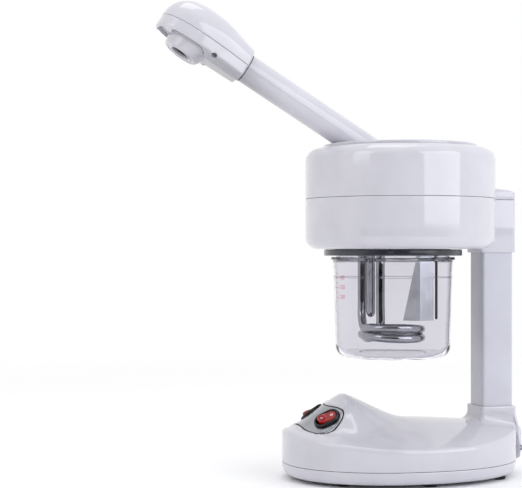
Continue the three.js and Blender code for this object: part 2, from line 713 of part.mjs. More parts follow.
function jarCollar() {
  const { radius, innerRadius, bottomZ, topZ } = COLLAR;
  const ring = turned([
    [innerRadius, bottomZ], [radius - 1, bottomZ], [radius, bottomZ + 1], [radius, topZ - 1],
    [radius - 1, topZ], [innerRadius, topZ], [innerRadius, bottomZ],
  ], ROUND_SIDES, JAR.x);
  const inner = JAR.mouthRadius + 0.8;
  const { startZ, ledgeGap, ledgeHeight, lugSpan, ledgeExtra, ledgeLead } = BAYONET;
  const top = startZ - ledgeGap;
  const bottom = top - ledgeHeight;
  const span = lugSpan + ledgeExtra;
  const ledges = aroundJar(() => threadPiece(inner, innerRadius + 1, bottom, top, span, -ledgeLead));
  return join(ring, ...ledges);
}

function glassJar() {
  const { mouthRadius, flangeRadius, flangeTopZ, flangeZ, neckTopZ, topRadius } = JAR;
  const { footRadius, bottomZ, wall, corner, footRing, footRecess, floorExtra } = JAR;
  const floorZ = bottomZ + wall + floorExtra;
  const bowl = turned([
    [0, bottomZ + footRecess],
    [footRing - 1, bottomZ + footRecess],
    [footRing, bottomZ],
    ...arc(footRadius - corner, bottomZ + corner, corner, -90, 0),
    [topRadius, flangeZ - 2],
    [topRadius + 0.8, flangeZ],
    [flangeRadius - 0.8, flangeZ],
    [flangeRadius, flangeZ + 0.8],
    [flangeRadius, flangeTopZ - 0.8],
    [flangeRadius - 0.8, flangeTopZ],
    [mouthRadius, flangeTopZ],
    [mouthRadius, neckTopZ - 0.8],
    [mouthRadius - 0.8, neckTopZ],
    [mouthRadius - wall, neckTopZ],
    [mouthRadius - wall, flangeZ - 3],
    ...arc(footRadius - corner, floorZ + corner - wall, corner - wall, 0, -90),
    [0, floorZ],
  ], ROUND_SIDES, JAR.x);
  const { startZ, lugHeight, lugSpan, lugReach } = BAYONET;
  const lugs = aroundJar(() => threadPiece(
    mouthRadius - 1,
    mouthRadius + lugReach,
    startZ,
    startZ + lugHeight,
    lugSpan,
    0,
  ));
  return join(bowl, ...lugs);
}

function jarGasket() {
  const { innerRadius, outerRadius } = GASKET;
  const top = PLATE.z - GAP;
  const bottom = JAR.neckTopZ + GAP;
  return turned([
    [innerRadius, bottom], [outerRadius, bottom], [outerRadius, top], [innerRadius, top],
    [innerRadius, bottom],
  ], ROUND_SIDES, JAR.x);
}

function coilPoint(angle, z, radius = COIL.radius) {
  return new THREE.Vector3(COIL.x + radius * Math.cos(angle * DEGREE), radius * Math.sin(angle * DEGREE), z);
}

// Down the outer leg, twice round, then in beside the lower loop and up the inner leg.
function heaterCoil() {
  const { upperZ, lowerZ, legAngle, innerLegAngle, innerRadius, topZ } = COIL;
  const legHeights = [topZ, ...COIL.legHeights];
  const points = legHeights.map((z) => coilPoint(legAngle, z));
  points.push(coilPoint(legAngle + 4, 152));
  for (let turn = 24; turn <= 696; turn += 24) {
    const sink = THREE.MathUtils.clamp((turn - 110) / 360, 0, 1);
    points.push(coilPoint(legAngle + turn, THREE.MathUtils.lerp(upperZ, lowerZ, sink)));
  }
  points.push(coilPoint(innerLegAngle - 30, lowerZ, 25));
  points.push(coilPoint(innerLegAngle - 8, lowerZ + 3, innerRadius + 1.4));
  points.push(coilPoint(innerLegAngle, lowerZ + 13, innerRadius));
  points.push(...legHeights.toReversed().map((z) => coilPoint(innerLegAngle, z, innerRadius)));
  return pipe(points, COIL.tube, 80, 8);
}

function coilLegs() {
  return [coilPoint(COIL.legAngle, 0), coilPoint(COIL.innerLegAngle, 0, COIL.innerRadius)];
}

function heaterPlate() {
  const hole = (radius, x, y, sides) => upright(radius, PLATE.z - 5, PLATE.z + 5, x, y, sides);
  return cut(
    upright(PLATE.radius, PLATE.z, PLATE.z + PLATE.thickness, JAR.x, 0, ROUND_SIDES),
    ...coilLegs().map((leg) => hole(COIL.tube + TERMINAL.clearance, leg.x, leg.y, 16)),
    hole(PROBE.radius + 0.4, PROBE.x, PROBE.y, 12),
    hole(STEAM_PORT_RADIUS, 0, 0, 24),
  );
}

// A closed tube between the heater's legs for the thermal cut-out's sensor.
function sensorWell() {
  const { radius, tipZ, taper } = SENSOR_WELL;
  const top = PLATE.z - GAP;
  return turned([
    [0, tipZ], [radius * 0.6, tipZ + 0.8], [radius, tipZ + taper], [radius, top], [0, top],
  ], 16);
}

// A steel sheet with a folded wing that widens downwards, hung under the heater plate.
function splashBaffle() {
  const { x, y, bottomZ, sheet, face, faceTurn, wing, wingTurn } = BAFFLE;
  const top = PLATE.z - GAP;
  const facePiece = block(0, face, 0, sheet, bottomZ, top).rotateZ(faceTurn * DEGREE);
  const outline = new THREE.Shape([
    new THREE.Vector2(0, bottomZ),
    new THREE.Vector2(wing, bottomZ),
    new THREE.Vector2(0.6, top),
    new THREE.Vector2(0, top),
  ]);
  const wingPiece = new THREE.ExtrudeGeometry(outline, { depth: sheet, bevelEnabled: false })
    .rotateX(Math.PI / 2)
    .rotateZ(wingTurn * DEGREE);
  const hem = upright(sheet, bottomZ, top, 0, 0, 12);
  return join(facePiece, wingPiece, hem).translate(x, y, 0);
}

function steamDuct() {
  const { innerRadius, outerRadius, footRadius, neckZ, seatGap, wall, cupLow, cupHigh } = DUCT;
  const seat = ARM.ballRadius + seatGap;
  const floorZ = PLATE.z + PLATE.thickness + GAP;
  const cup = (radius, from, to) => arc(0, ARM.pivotZ, radius, from, to, 3);
  return turned([
    [innerRadius, floorZ],
    [footRadius, floorZ],
    [footRadius, floorZ + 2],
    [outerRadius, floorZ + 3],
    [outerRadius, neckZ],
    ...cup(seat + wall, cupLow, cupHigh),
    ...cup(seat, cupHigh, cupLow),
    [innerRadius, neckZ],
    [innerRadius, floorZ],
  ], 28);
}

// Everything that stands on the heater plate, inside the drum or hung through it.
function plateFittings() {
  const clearZ = PLATE.z + PLATE.thickness + GAP;
  const inner = COIL.tube + TERMINAL.clearance;
  const ringTop = clearZ + TERMINAL.height;
  const ring = [
    [inner, clearZ], [TERMINAL.radius, clearZ], [TERMINAL.radius, ringTop], [inner, ringTop], [inner, clearZ],
  ];
  const terminals = coilLegs().map((leg, i) => {
    const terminal = part(`heater_terminal_${i + 1}`, turned(ring, 16), FINISH.ceramic);
    terminal.position.set(leg.x, leg.y, 0);
    return terminal;
  });
  const { x, y, radius, tipZ, topZ, capRadius } = PROBE;
  const rod = turned([
    [0, tipZ - 1], [radius, tipZ], [radius, clearZ], [capRadius, clearZ], [capRadius, topZ], [0, topZ],
  ], 12);
  const probe = part('level_probe', rod, FINISH.black);
  probe.position.set(x, y, 0);

  const well = part('sensor_well', sensorWell(), FINISH.steel);
  well.position.set(SENSOR_WELL.x, SENSOR_WELL.y, 0);

  const { shoulderZ, topRadius, height } = THERMOSTAT;
  const rim = THERMOSTAT.radius;
  const can = turned([[0, 0], [rim, 0], [rim, shoulderZ], [topRadius, height], [0, height]], 12);
  const thermostat = part('thermostat', can, FINISH.steel);
  thermostat.position.set(THERMOSTAT.x, THERMOSTAT.y, clearZ);

  const bulb = alongX(OZONE_LAMP.radius, -OZONE_LAMP.halfLength, OZONE_LAMP.halfLength, 14);
  const lamp = part('ozone_lamp', bulb, FINISH.glass);
  lamp.position.set(OZONE_LAMP.x, OZONE_LAMP.y, clearZ + OZONE_LAMP.lift);
  return [...terminals, probe, well, thermostat, lamp];
}

function housingGroup() {
  const group = new THREE.Group();
  group.add(part('housing_lower_shell', housingLowerShell(), FINISH.shell));
  group.add(part('housing_upper_shell', housingUpperShell(), FINISH.shell));
  group.add(part('jar_collar', jarCollar(), FINISH.black));
  group.add(part('heater_plate', heaterPlate(), FINISH.steel));
  group.add(part('heater_coil', heaterCoil(), FINISH.steel));
  group.add(part('splash_baffle', splashBaffle(), FINISH.steel));
  group.add(part('steam_duct', steamDuct(), FINISH.innerShell));
  group.add(part('jar_gasket', jarGasket(), FINISH.seal));
  group.add(part('glass_jar', glassJar(), FINISH.glass));
  group.add(...plateFittings());
  return group;
}

// ---------------------------------------------------------------- turntable and arm

function turntable() {
  const { radius, topZ, thickness, skirtOuter, skirtInner, skirtZ } = TURNTABLE;
  const { slotFront, slotRear, slotHalfWidth, edge, dish, dishStart } = TURNTABLE;
  const underZ = topZ - thickness;
  const disc = turned([
    [0, underZ], [skirtInner, underZ], [skirtInner, skirtZ], [skirtOuter, skirtZ], [skirtOuter, underZ],
    [radius, underZ], [radius, topZ - edge], [radius - edge, topZ], [radius - dishStart, topZ],
    [radius - dishStart - dish, topZ - dish], [0, topZ - dish],
  ]);
  const slotOutline = roundedRectangle((slotFront + slotRear) / 2, slotHalfWidth, slotHalfWidth - 0.1);
  const slot = prism(slotOutline, underZ - 2, topZ + 2, 4).translate((slotRear - slotFront) / 2, 0, 0);
  const { cheekHalf, cheekInner, cheekOuter, cheekZ } = TURNTABLE;
  const pinHole = alongY(PIVOT.radius + 0.4, -40, 40).translate(0, 0, ARM.pivotZ);
  const cheeks = [
    block(-cheekHalf, cheekHalf, cheekInner, cheekOuter, cheekZ, underZ + 1),
    block(-cheekHalf, cheekHalf, -cheekOuter, -cheekInner, cheekZ, underZ + 1),
  ];
  return cut(join(disc, ...cheeks), pinHole, slot);
}

function turntableGroup() {
  const group = new THREE.Group();
  group.add(part('turntable', turntable(), FINISH.shell));
  const { skirtOuter, skirtZ, retainerRadius } = TURNTABLE;
  const inner = skirtOuter + GAP;
  const ringTop = DRUM.topZ - DRUM.wall - 0.6;
  const ring = turned([
    [inner, skirtZ], [retainerRadius, skirtZ], [retainerRadius, ringTop], [inner, ringTop], [inner, skirtZ],
  ]);
  group.add(part('turntable_retainer', ring, FINISH.innerShell));
  group.add(armGroup());
  return group;
}

// The arm's own frame: x runs out along the tube from the pivot, z is square to it and up.
function armGroup() {
  const group = new THREE.Group();
  group.position.z = ARM.pivotZ;
  group.rotation.set(0, ARM.rise * DEGREE, Math.PI, 'YXZ');
  const { tubeRadius, tubeWall, ballRadius, ballWall, start, headStart, tubeInHead } = ARM;

  const tube = cut(
    alongX(tubeRadius, start, headStart + tubeInHead, 28),
    alongX(tubeRadius - tubeWall, start - 1, headStart + tubeInHead + 1, 28),
  );
  group.add(part('arm_tube', tube, FINISH.shell));

  const mouthTilt = (ARM.rise + ARM.mouthLean + 180) * DEGREE;
  const mouth = upright(ARM.mouthRadius, 0, ballRadius + 10).rotateY(mouthTilt);
  const ball = cut(
    new THREE.SphereGeometry(ballRadius, 20, 12),
    new THREE.SphereGeometry(ballRadius - ballWall, 14, 8),
    alongX(tubeRadius + GAP, start - 6.5, 2 * ballRadius, 24),
    alongY(PIVOT.radius + PIVOT.clearance, -40, 40),
    mouth,
  );
  group.add(part('arm_ball', ball, FINISH.innerShell));
  const { radius, innerY, outerY } = PIVOT;
  group.add(part('pivot_pin_far', alongY(radius, -outerY, -innerY, 16), FINISH.steel));
  group.add(part('pivot_pin_near', alongY(radius, innerY, outerY, 16), FINISH.steel));
  group.add(headGroup());
  return group;
}

// ---------------------------------------------------------------- head

// Smooth rise from 0 to 1 between two places.
function ease(x, from, to) {
  return THREE.MathUtils.smootherstep(x, from, to);
}

// Share of full size left at a distance along the head, 1 up to the start of the nose.
function noseShare(x, noseStart) {
  const along = Math.max(0, x - noseStart) / (HEAD.length - noseStart);
  return Math.max(0, 1 - along ** HEAD.noseSquareness) ** (1 / HEAD.noseSquareness);
}

// Half the head's width at a distance along it.
function headHalf(x) {
  const grown = ease(x, HEAD.growFrom, HEAD.widestAt);
  const wide = THREE.MathUtils.lerp(HEAD.rearHalfWidth, HEAD.halfWidth, grown);
  return wide * noseShare(x, HEAD.widestAt);
}

// One cross-section: a rounded top over straight sides, a narrow corner and a shallow keel.
function headRing(x, inset) {
  const { rearTop, top, topAt, growFrom, partZ, edgeZ, keelZ, keelShare } = HEAD;
  const rise = THREE.MathUtils.lerp(rearTop, top, ease(x, growFrom, topAt)) - partZ;
  const high = Math.max(0.01, rise * noseShare(x, topAt) - inset);
  const half = Math.max(0.01, headHalf(x) - inset);
  const power = 2 / HEAD.domeSquareness;
  const dome = Array.from({ length: 11 }, (_, i) => {
    const angle = Math.PI * i / 10;
    const cos = Math.cos(angle);
    const y = Math.sign(cos) * half * Math.abs(cos) ** power;
    return [y, partZ + high * Math.max(0, Math.sin(angle)) ** power];
  });
  const edge = edgeZ + inset;
  const keel = keelZ + inset;
  const corner = Math.min(HEAD.edgeCorner, half / 2);
  const under = [
    [-half, edge + corner], [corner - half, edge], [-half * keelShare, keel],
    [half * keelShare, keel], [half - corner, edge], [half, edge + corner],
  ];
  return [...dome, ...under].map(([y, z]) => new THREE.Vector3(x, y, z));
}

function headBody(inset) {
  const stations = [0, 18, 36, 52, 64, 73, 80, 85, 88, 89];
  const scale = (HEAD.length - 2 * inset) / HEAD.length;
  return skin(stations.map((x) => headRing(x, inset).map((p) => p.setX(inset + x * scale))));
}

function headShell(keepZ0, keepZ1) {
  const hollow = cut(
    headBody(0),
    headBody(HEAD.wall),
    alongX(ARM.tubeRadius + HEAD.tubePlay, -5, 10, 32),
    alongX(ARM.tubeRadius + SWIVEL_RING.thickness + 2 * GAP, SWIVEL_RING.x0 - GAP, SWIVEL_RING.x1 + GAP, 32),
  );
  return overlap(hollow, block(-5, 100, -40, 40, keepZ0, keepZ1));
}

// The plan of the recess round the nozzle, drawn larger by an amount, out to a rear reach.
function pocketOutline(grow, reach) {
  const { rootX } = NOZZLE;
  const inset = POCKET.rimInset - grow;
  const wide = headHalf(rootX) - inset;
  const tip = HEAD.length - inset;
  const side = [];
  for (let i = 8; i >= 1; i -= 1) {
    const angle = Math.PI / 2 * i / 8;
    side.push([rootX - reach * Math.sin(angle), wide * Math.cos(angle)]);
  }
  for (const share of [0, 0.25, 0.45, 0.62, 0.76, 0.88, 0.96]) {
    const x = THREE.MathUtils.lerp(rootX, tip, share);
    side.push([x, Math.max(0.4, headHalf(x + inset * share) - inset)]);
  }
  const mirrored = side.slice(1).reverse().map(([x, y]) => [x, -y]);
  return new THREE.Shape([...side, [tip, 0], ...mirrored].map(([x, y]) => new THREE.Vector2(x, y)));
}

// A body lying along a head screw, built from the screw's mouth at z = 0 upwards.
function alongHeadScrew(geometry, side) {
  return geometry
    .rotateX(side * HEAD_SCREW.lean * DEGREE)
    .translate(HEAD_SCREW.x, side * HEAD_SCREW.y, HEAD_SCREW.z);
}

function headLowerShell() {
  const { floorZ, thickness, rearReach, tubReach } = POCKET;
  const { recess, recessDepth, shank, boss } = HEAD_SCREW;
  const { x, mouthRadius, wall } = NOZZLE;
  const inside = headBody(0.8);
  const tub = overlap(prism(pocketOutline(1.6, tubReach), -30, floorZ + thickness, 1), inside);
  const bosses = [-1, 1].map((side) => overlap(alongHeadScrew(upright(boss, -6, 8, 0, 0, 16), side), inside));
  const holes = [-1, 1].flatMap((side) => [
    alongHeadScrew(upright(recess, -12, recessDepth, 0, 0, 16), side),
    alongHeadScrew(upright(shank + GAP, 0, 12, 0, 0, 12), side),
  ]);
  return cut(
    join(headShell(-60, HEAD.partZ - GAP / 2), tub, ...bosses),
    prism(pocketOutline(0, rearReach), -40, floorZ, 1),
    nozzleSpace(),
    upright(mouthRadius + wall + GAP, -40, 0, x, 0, 24),
    alongX(ARM.tubeRadius + HEAD.tubePlay, -5, HEAD.length, 32),
    ...holes,
  );
}

// Turns an outline about the nozzle's mouth, leans its skirt back towards the arm as it rises and
// slopes its face so that the rear hangs lower.
function nozzleBody(outline) {
  const { x, faceRadius, rootX, faceZ, rootZ, faceSlope } = NOZZLE;
  const body = turned(outline, 24);
  const points = body.attributes.position;
  for (let i = 0; i < points.count; i += 1) {
    const away = points.getX(i);
    const radius = Math.hypot(away, points.getY(i));
    const rise = THREE.MathUtils.clamp((points.getZ(i) - faceZ) / (rootZ - faceZ), 0, 1);
    const lean = radius > faceRadius - 3 ? (rootX - x) * rise : 0;
    points.setX(i, away + x + lean);
    points.setZ(i, points.getZ(i) + faceSlope * away * (1 - rise));
  }
  return body;
}

// The outlet ring under the head.
function nozzleCup() {
  const { mouthRadius, faceRadius, rootRadius, faceZ, rootZ, wall, skirtWall } = NOZZLE;
  const innerTop = rootZ + 2;
  return nozzleBody([
    [mouthRadius, faceZ + 1.6],
    [mouthRadius + 0.8, faceZ],
    [faceRadius - 1, faceZ],
    [faceRadius, faceZ + 0.8],
    [rootRadius, rootZ - 4],
    [rootRadius, rootZ],
    [rootRadius - skirtWall, rootZ],
    [faceRadius - 2.4, faceZ + 2.6],
    [mouthRadius + wall, faceZ + 2.6],
    [mouthRadius + wall, innerTop],
    [mouthRadius, innerTop],
    [mouthRadius, faceZ + 1.6],
  ]);
}

// The space that the outlet ring's skirt passes through in the head's underside.
function nozzleSpace() {
  const { faceRadius, rootRadius, faceZ, rootZ, play } = NOZZLE;
  return nozzleBody([
    [0, faceZ - 8],
    [faceRadius + play, faceZ - 8],
    [faceRadius + play, faceZ + 0.6],
    [rootRadius + play, rootZ - 4.2],
    [rootRadius + play, POCKET.floorZ],
    [0, POCKET.floorZ],
  ]);
}

function headScrew() {
  const { recess, recessDepth, shank } = HEAD_SCREW;
  const head = recess - 0.5;
  const seat = recessDepth - GAP;
  return turned([
    [0, seat - 1.6], [head, seat - 1.6], [head, seat], [shank, seat], [shank, seat + 5], [0, seat + 6],
  ], 12);
}

function headGroup() {
  const group = new THREE.Group();
  group.position.x = ARM.headStart;
  const { mouthRadius } = NOZZLE;
  group.add(part('head_upper_shell', headShell(HEAD.partZ + GAP / 2, 60), FINISH.shell));
  group.add(part('head_lower_shell', headLowerShell(), FINISH.shell));
  group.add(part('nozzle_cup', nozzleCup(), FINISH.shell));

  const bend = HOSE.route.map(([x, z]) => new THREE.Vector3(x, 0, z));
  const hoseRadius = mouthRadius - HOSE.slack;
  const hose = pipe(bend, hoseRadius, 8, 12, hoseRadius - HOSE.wall);
  group.add(part('steam_elbow', hose, FINISH.seal));
  group.add(part('head_screw_far', alongHeadScrew(headScrew(), -1), FINISH.steel));
  group.add(part('head_screw_near', alongHeadScrew(headScrew(), 1), FINISH.steel));

  const inner = ARM.tubeRadius + GAP;
  const outer = inner + SWIVEL_RING.thickness;
  const { x0, x1 } = SWIVEL_RING;
  const swivel = turned([[inner, x0], [outer, x0], [outer, x1], [inner, x1], [inner, x0]], 24)
    .rotateY(Math.PI / 2);
  group.add(part('head_swivel_ring', swivel, FINISH.innerShell));
  return group;
}

// ---------------------------------------------------------------- whole object

const steamer = new THREE.Group();
steamer.add(baseGroup(), columnGroup(), housingGroup(), turntableGroup());
const bounds = new THREE.Box3().setFromObject(steamer, true);
const centre = bounds.getCenter(new THREE.Vector3());
steamer.position.set(-centre.x, -centre.y, -bounds.min.z);

export default steamer;
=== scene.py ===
import json
import math

import bmesh
import bpy
from mathutils import Matrix, Vector


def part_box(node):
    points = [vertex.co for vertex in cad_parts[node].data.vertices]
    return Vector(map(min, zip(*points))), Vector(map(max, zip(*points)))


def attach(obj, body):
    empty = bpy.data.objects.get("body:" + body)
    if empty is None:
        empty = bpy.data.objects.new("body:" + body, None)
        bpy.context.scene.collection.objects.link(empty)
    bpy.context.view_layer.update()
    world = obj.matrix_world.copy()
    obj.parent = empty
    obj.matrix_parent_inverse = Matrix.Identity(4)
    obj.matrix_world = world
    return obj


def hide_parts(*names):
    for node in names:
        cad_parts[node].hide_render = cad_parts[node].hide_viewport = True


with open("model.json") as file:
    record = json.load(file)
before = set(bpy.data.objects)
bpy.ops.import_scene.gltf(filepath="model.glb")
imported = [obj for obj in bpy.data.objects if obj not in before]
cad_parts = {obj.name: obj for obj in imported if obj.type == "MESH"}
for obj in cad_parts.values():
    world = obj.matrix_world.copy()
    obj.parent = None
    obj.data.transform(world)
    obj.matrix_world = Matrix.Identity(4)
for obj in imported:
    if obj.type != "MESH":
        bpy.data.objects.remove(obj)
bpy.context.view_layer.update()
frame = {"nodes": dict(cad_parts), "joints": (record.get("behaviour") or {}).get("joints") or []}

# ---------------------------------------------------------------- frames

MM = 0.001
DEGREE = math.pi / 180
JOINTS = {joint["name"]: joint for joint in frame["joints"]}
DRUM_AXIS = Vector(JOINTS["arm_swivel"]["pos_m"])
JAR_AXIS = Vector(JOINTS["jar_turn"]["pos_m"])
OUTWARDS = Vector(JOINTS["head_turn"]["axis"])
ARM_UP = Vector((OUTWARDS.z, 0, -OUTWARDS.x))


def own_frame(origin, along=(1, 0, 0), up=(0, 0, 1)):
    """Takes millimetres in a piece's own frame to metres in the row frame."""
    x = Vector(along).normalized()
    z = Vector(up).normalized()
    turn = Matrix((x, z.cross(x), z)).transposed().to_4x4()
    return Matrix.Translation(Vector(origin)) @ turn @ Matrix.Scale(MM, 4)


BODY = own_frame((DRUM_AXIS.x, 0, 0))
JAR_PLACE = own_frame((JAR_AXIS.x, 0, 0))
ARM = own_frame(JOINTS["arm_tilt"]["pos_m"], OUTWARDS, ARM_UP)
HEAD = own_frame(JOINTS["head_turn"]["pos_m"], OUTWARDS, ARM_UP)
HEAD_START = (Vector(JOINTS["head_turn"]["pos_m"]) - Vector(JOINTS["arm_tilt"]["pos_m"])).length / MM


def span(node):
    """A CAD node's box in millimetres from the drum's axis and the table."""
    low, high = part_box(node)
    shift = Vector((DRUM_AXIS.x, 0, 0))
    return (low - shift) / MM, (high - shift) / MM


# ---------------------------------------------------------------- procedural finishes

RANGE_SOCKETS = ("From Min", "From Max", "To Min", "To Max")


class Finish:
    """Builds one node material: colour, roughness variation, moulded or brushed bump and edge wear."""

    def __init__(self, name):
        self.material = bpy.data.materials.new(name)
        self.material.use_nodes = True
        self.tree = self.material.node_tree
        self.shader = self.tree.nodes["Principled BSDF"]
        self.coordinates = self.tree.nodes.new("ShaderNodeTexCoord").outputs["Object"]

    def link(self, source, target):
        self.tree.links.new(source, target)

    def noise(self, scale, detail, stretch=None):
        node = self.tree.nodes.new("ShaderNodeTexNoise")
        node.inputs["Scale"].default_value = scale
        node.inputs["Detail"].default_value = detail
        place = self.coordinates
        if stretch:
            mapping = self.tree.nodes.new("ShaderNodeMapping")
            mapping.inputs["Scale"].default_value = stretch
            self.link(place, mapping.inputs["Vector"])
            place = mapping.outputs["Vector"]
        self.link(place, node.inputs["Vector"])
        return node.outputs["Fac"]

    def ranged(self, source, low, high, to_low, to_high):
        node = self.tree.nodes.new("ShaderNodeMapRange")
        for socket, value in zip(RANGE_SOCKETS, (low, high, to_low, to_high)):
            node.inputs[socket].default_value = value
        self.link(source, node.inputs["Value"])
        return node.outputs["Result"]

    def combined(self, operation, a, b):
        node = self.tree.nodes.new("ShaderNodeMath")
        node.operation = operation
        self.link(a, node.inputs[0])
        self.link(b, node.inputs[1])
        return node.outputs[0]

    def mixed(self, amount, a, b):
        node = self.tree.nodes.new("ShaderNodeMix")
        node.data_type = "RGBA"
        self.link(amount, node.inputs["Factor"])
        for socket, value in ((node.inputs["A"], a), (node.inputs["B"], b)):
            if isinstance(value, tuple):
                socket.default_value = (*value, 1.0)
            else:
                self.link(value, socket)
        return node.outputs["Result"]

    def edges(self, low, high):
        """Nought on flat and hollow places, one on sharp outer edges."""
        node = self.tree.nodes.new("ShaderNodeNewGeometry")
        return self.ranged(node.outputs["Pointiness"], low, high, 0.0, 1.0)

    def bump(self, height, strength, distance):
        node = self.tree.nodes.new("ShaderNodeBump")
        node.inputs["Strength"].default_value = strength
        node.inputs["Distance"].default_value = distance
        self.link(height, node.inputs["Height"])
        self.link(node.outputs["Normal"], self.shader.inputs["Normal"])

    def set(self, **values):
        for name, value in values.items():
            self.shader.inputs[name.replace("_", " ").title().replace("Ior", "IOR")].default_value = value
        return self


def tint(hex_colour):
    """A linear colour from its sRGB hex digits."""
    channels = [int(hex_colour[i : i + 2], 16) / 255 for i in (0, 2, 4)]
    return tuple(c / 12.92 if c <= 0.04045 else ((c + 0.055) / 1.055) ** 2.4 for c in channels)


def scaled(colour, factor):
    return tuple(c * factor for c in colour)


def plastic(name, colour, roughness, coat=0.0, grain=0.06, grain_size=1.4, wear="ffffff", worn=0.3):
    """Moulded plastic: a faint orange-peel skin, cloudy gloss and rubbed edges."""
    f = Finish(name)
    cloud = f.noise(28, 3)
    fine = f.noise(240, 4)
    body = f.mixed(f.ranged(cloud, 0.35, 0.65, 0.0, 1.0), tint(colour), scaled(tint(colour), 0.94))
    rubbed = f.combined("MULTIPLY", f.edges(0.53, 0.62), f.ranged(fine, 0.4, 0.65, 0.0, worn))
    f.link(f.mixed(rubbed, body, tint(wear)), f.shader.inputs["Base Color"])
    gloss = f.ranged(cloud, 0.3, 0.7, roughness - 0.025, roughness + 0.025)
    dulled = f.combined("ADD", gloss, f.ranged(rubbed, 0.0, 1.0, 0.0, 0.25))
    f.link(dulled, f.shader.inputs["Roughness"])
    f.bump(f.noise(1000 / grain_size, 3), grain, 0.0001)
    f.set(ior=1.5, coat_weight=coat, coat_roughness=0.05)
    return f.material


def metal(name, colour, roughness, stretch=(1, 1, 1), patches=0.1):
    """Bare or plated metal with drawn or brushed marks and brighter edges."""
    f = Finish(name)
    lines = f.noise(700, 4, stretch)
    cloud = f.noise(60, 3)
    body = f.mixed(f.ranged(cloud, 0.35, 0.7, 0.0, 1.0), tint(colour), scaled(tint(colour), 0.8))
    rubbed = f.combined("MULTIPLY", f.edges(0.52, 0.6), f.ranged(cloud, 0.3, 0.6, 0.0, 0.35))
    f.link(f.mixed(rubbed, body, (0.95, 0.95, 0.95)), f.shader.inputs["Base Color"])
    f.link(f.ranged(lines, 0.3, 0.7, roughness, roughness + patches), f.shader.inputs["Roughness"])
    f.bump(lines, 0.08, 0.00008)
    f.set(metallic=1.0)
    return f.material


def clear(name, colour, roughness, ior, coat=0.0):
    """Clear glass with a faint mould ripple, dulled patches, and painted shade: a greyer tone where it is
    seen edge-on.
    """
    f = Finish(name)
    ripple = f.noise(22, 2)
    smear = f.noise(90, 4)
    f.link(f.ranged(smear, 0.45, 0.8, roughness, roughness + 0.05), f.shader.inputs["Roughness"])
    body = f.mixed(f.ranged(ripple, 0.3, 0.7, 0.0, 1.0), tint(colour), scaled(tint(colour), 1.02))
    # Painted shade: the glass's colour is darkened where it is seen edge-on.
    slant = f.tree.nodes.new("ShaderNodeLayerWeight")
    slant.inputs["Blend"].default_value = 0.5
    painted_edge_shade = f.ranged(slant.outputs["Facing"], 0.62, 0.98, 0.0, 1.0)
    f.link(f.mixed(painted_edge_shade, body, scaled(tint(colour), 0.45)), f.shader.inputs["Base Color"])
    f.bump(ripple, 0.01, 0.0005)
    f.set(transmission_weight=1.0, ior=ior, coat_weight=coat, coat_roughness=0.0)
    return f.material


def circuit_board(name):
    """Green lacquered board with copper tracks."""
    f = Finish(name)
    bricks = f.tree.nodes.new("ShaderNodeTexBrick")
    bricks.inputs["Scale"].default_value = 90
    bricks.inputs["Mortar Size"].default_value = 0.03
    bricks.inputs["Color1"].default_value = (0.01, 0.11, 0.035, 1)
    bricks.inputs["Color2"].default_value = (0.012, 0.14, 0.045, 1)
    bricks.inputs["Mortar"].default_value = (0.08, 0.26, 0.09, 1)
    f.link(f.coordinates, bricks.inputs["Vector"])
    f.link(bricks.outputs["Color"], f.shader.inputs["Base Color"])
    f.link(f.ranged(f.noise(300, 3), 0.3, 0.7, 0.3, 0.5), f.shader.inputs["Roughness"])
    f.bump(bricks.outputs["Fac"], 0.15, 0.0001)
    return f.material


FINISH = {
    "shell_white": plastic("gloss_white_plastic", "c9c8d1", 0.09, coat=0.3),
    "column_white": plastic("column_plastic", "c7c7d1", 0.24, coat=0.1),
    "panel_silver": metal("satin_silver_panel", "a6a8af", 0.17, stretch=(1, 0.05, 1)),
    "black_gloss": plastic("gloss_black_plastic", "050509", 0.2, wear="26272d"),
    "black_matte": plastic("matte_black_plastic", "15161a", 0.5, grain=0.2, grain_size=0.6, wear="44464c"),
    "rocker_red": plastic("red_translucent_rocker", "94080d", 0.16, coat=0.15, wear="ff8a80"),
    "foot_rubber": plastic("foot_rubber", "17171a", 0.82, grain=0.4, grain_size=0.5, wear="3c3c3f"),
    "wire_sleeve": plastic("wire_sleeve", "1c1c20", 0.6, grain=0.3, grain_size=0.8, wear="3a3a40"),
    "screw_steel": metal("zinc_screw_steel", "c3c6cb", 0.25),
    "plate_steel": metal("drawn_steel_plate", "cfd2d6", 0.16, stretch=(1, 1, 0.06)),
    "heater_chrome": metal("polished_heater_chrome", "adaeb2", 0.03, stretch=(1, 1, 0.2), patches=0.06),
    "pin_brass": metal("plated_pin_brass", "c7a65a", 0.25),
    "jar_glass": clear("jar_glass", "e9e8ed", 0.0, 1.16, coat=0.12),
    "lamp_glass": clear("lamp_glass", "eef4ff", 0.02, 1.45),
    "seal_silicone": plastic("silicone_seal", "dfe2e8", 0.55, grain=0.12, grain_size=0.8),
    "duct_plastic": plastic("inner_plastic", "d6d6de", 0.42, grain=0.15, grain_size=0.8),
    "ceramic_white": plastic("steatite_ceramic", "ece6d8", 0.5, grain=0.3, grain_size=0.5),
    "coil_copper": metal("enamelled_copper", "b5552f", 0.35, stretch=(1, 1, 12)),
    "board_green": circuit_board("circuit_board"),
}
MARK_WHITE = plastic("printed_white", "f2f2f2", 0.4, worn=0.1)
MARK_RED = plastic("printed_red_scale", "c2687a", 0.4, worn=0.1)
COLLAR_BLACK = plastic("collar_black_plastic", "2b2d35", 0.22, coat=0.3, wear="4a4d58")
# Painted shadow: a dark grey that stands in for the shade inside seams, gaps and the nozzle's bore.
PAINTED_GAP_SHADOW = plastic("painted_gap_shadow", "2c2c33", 0.6, worn=0.05)

# ---------------------------------------------------------------- mesh helpers


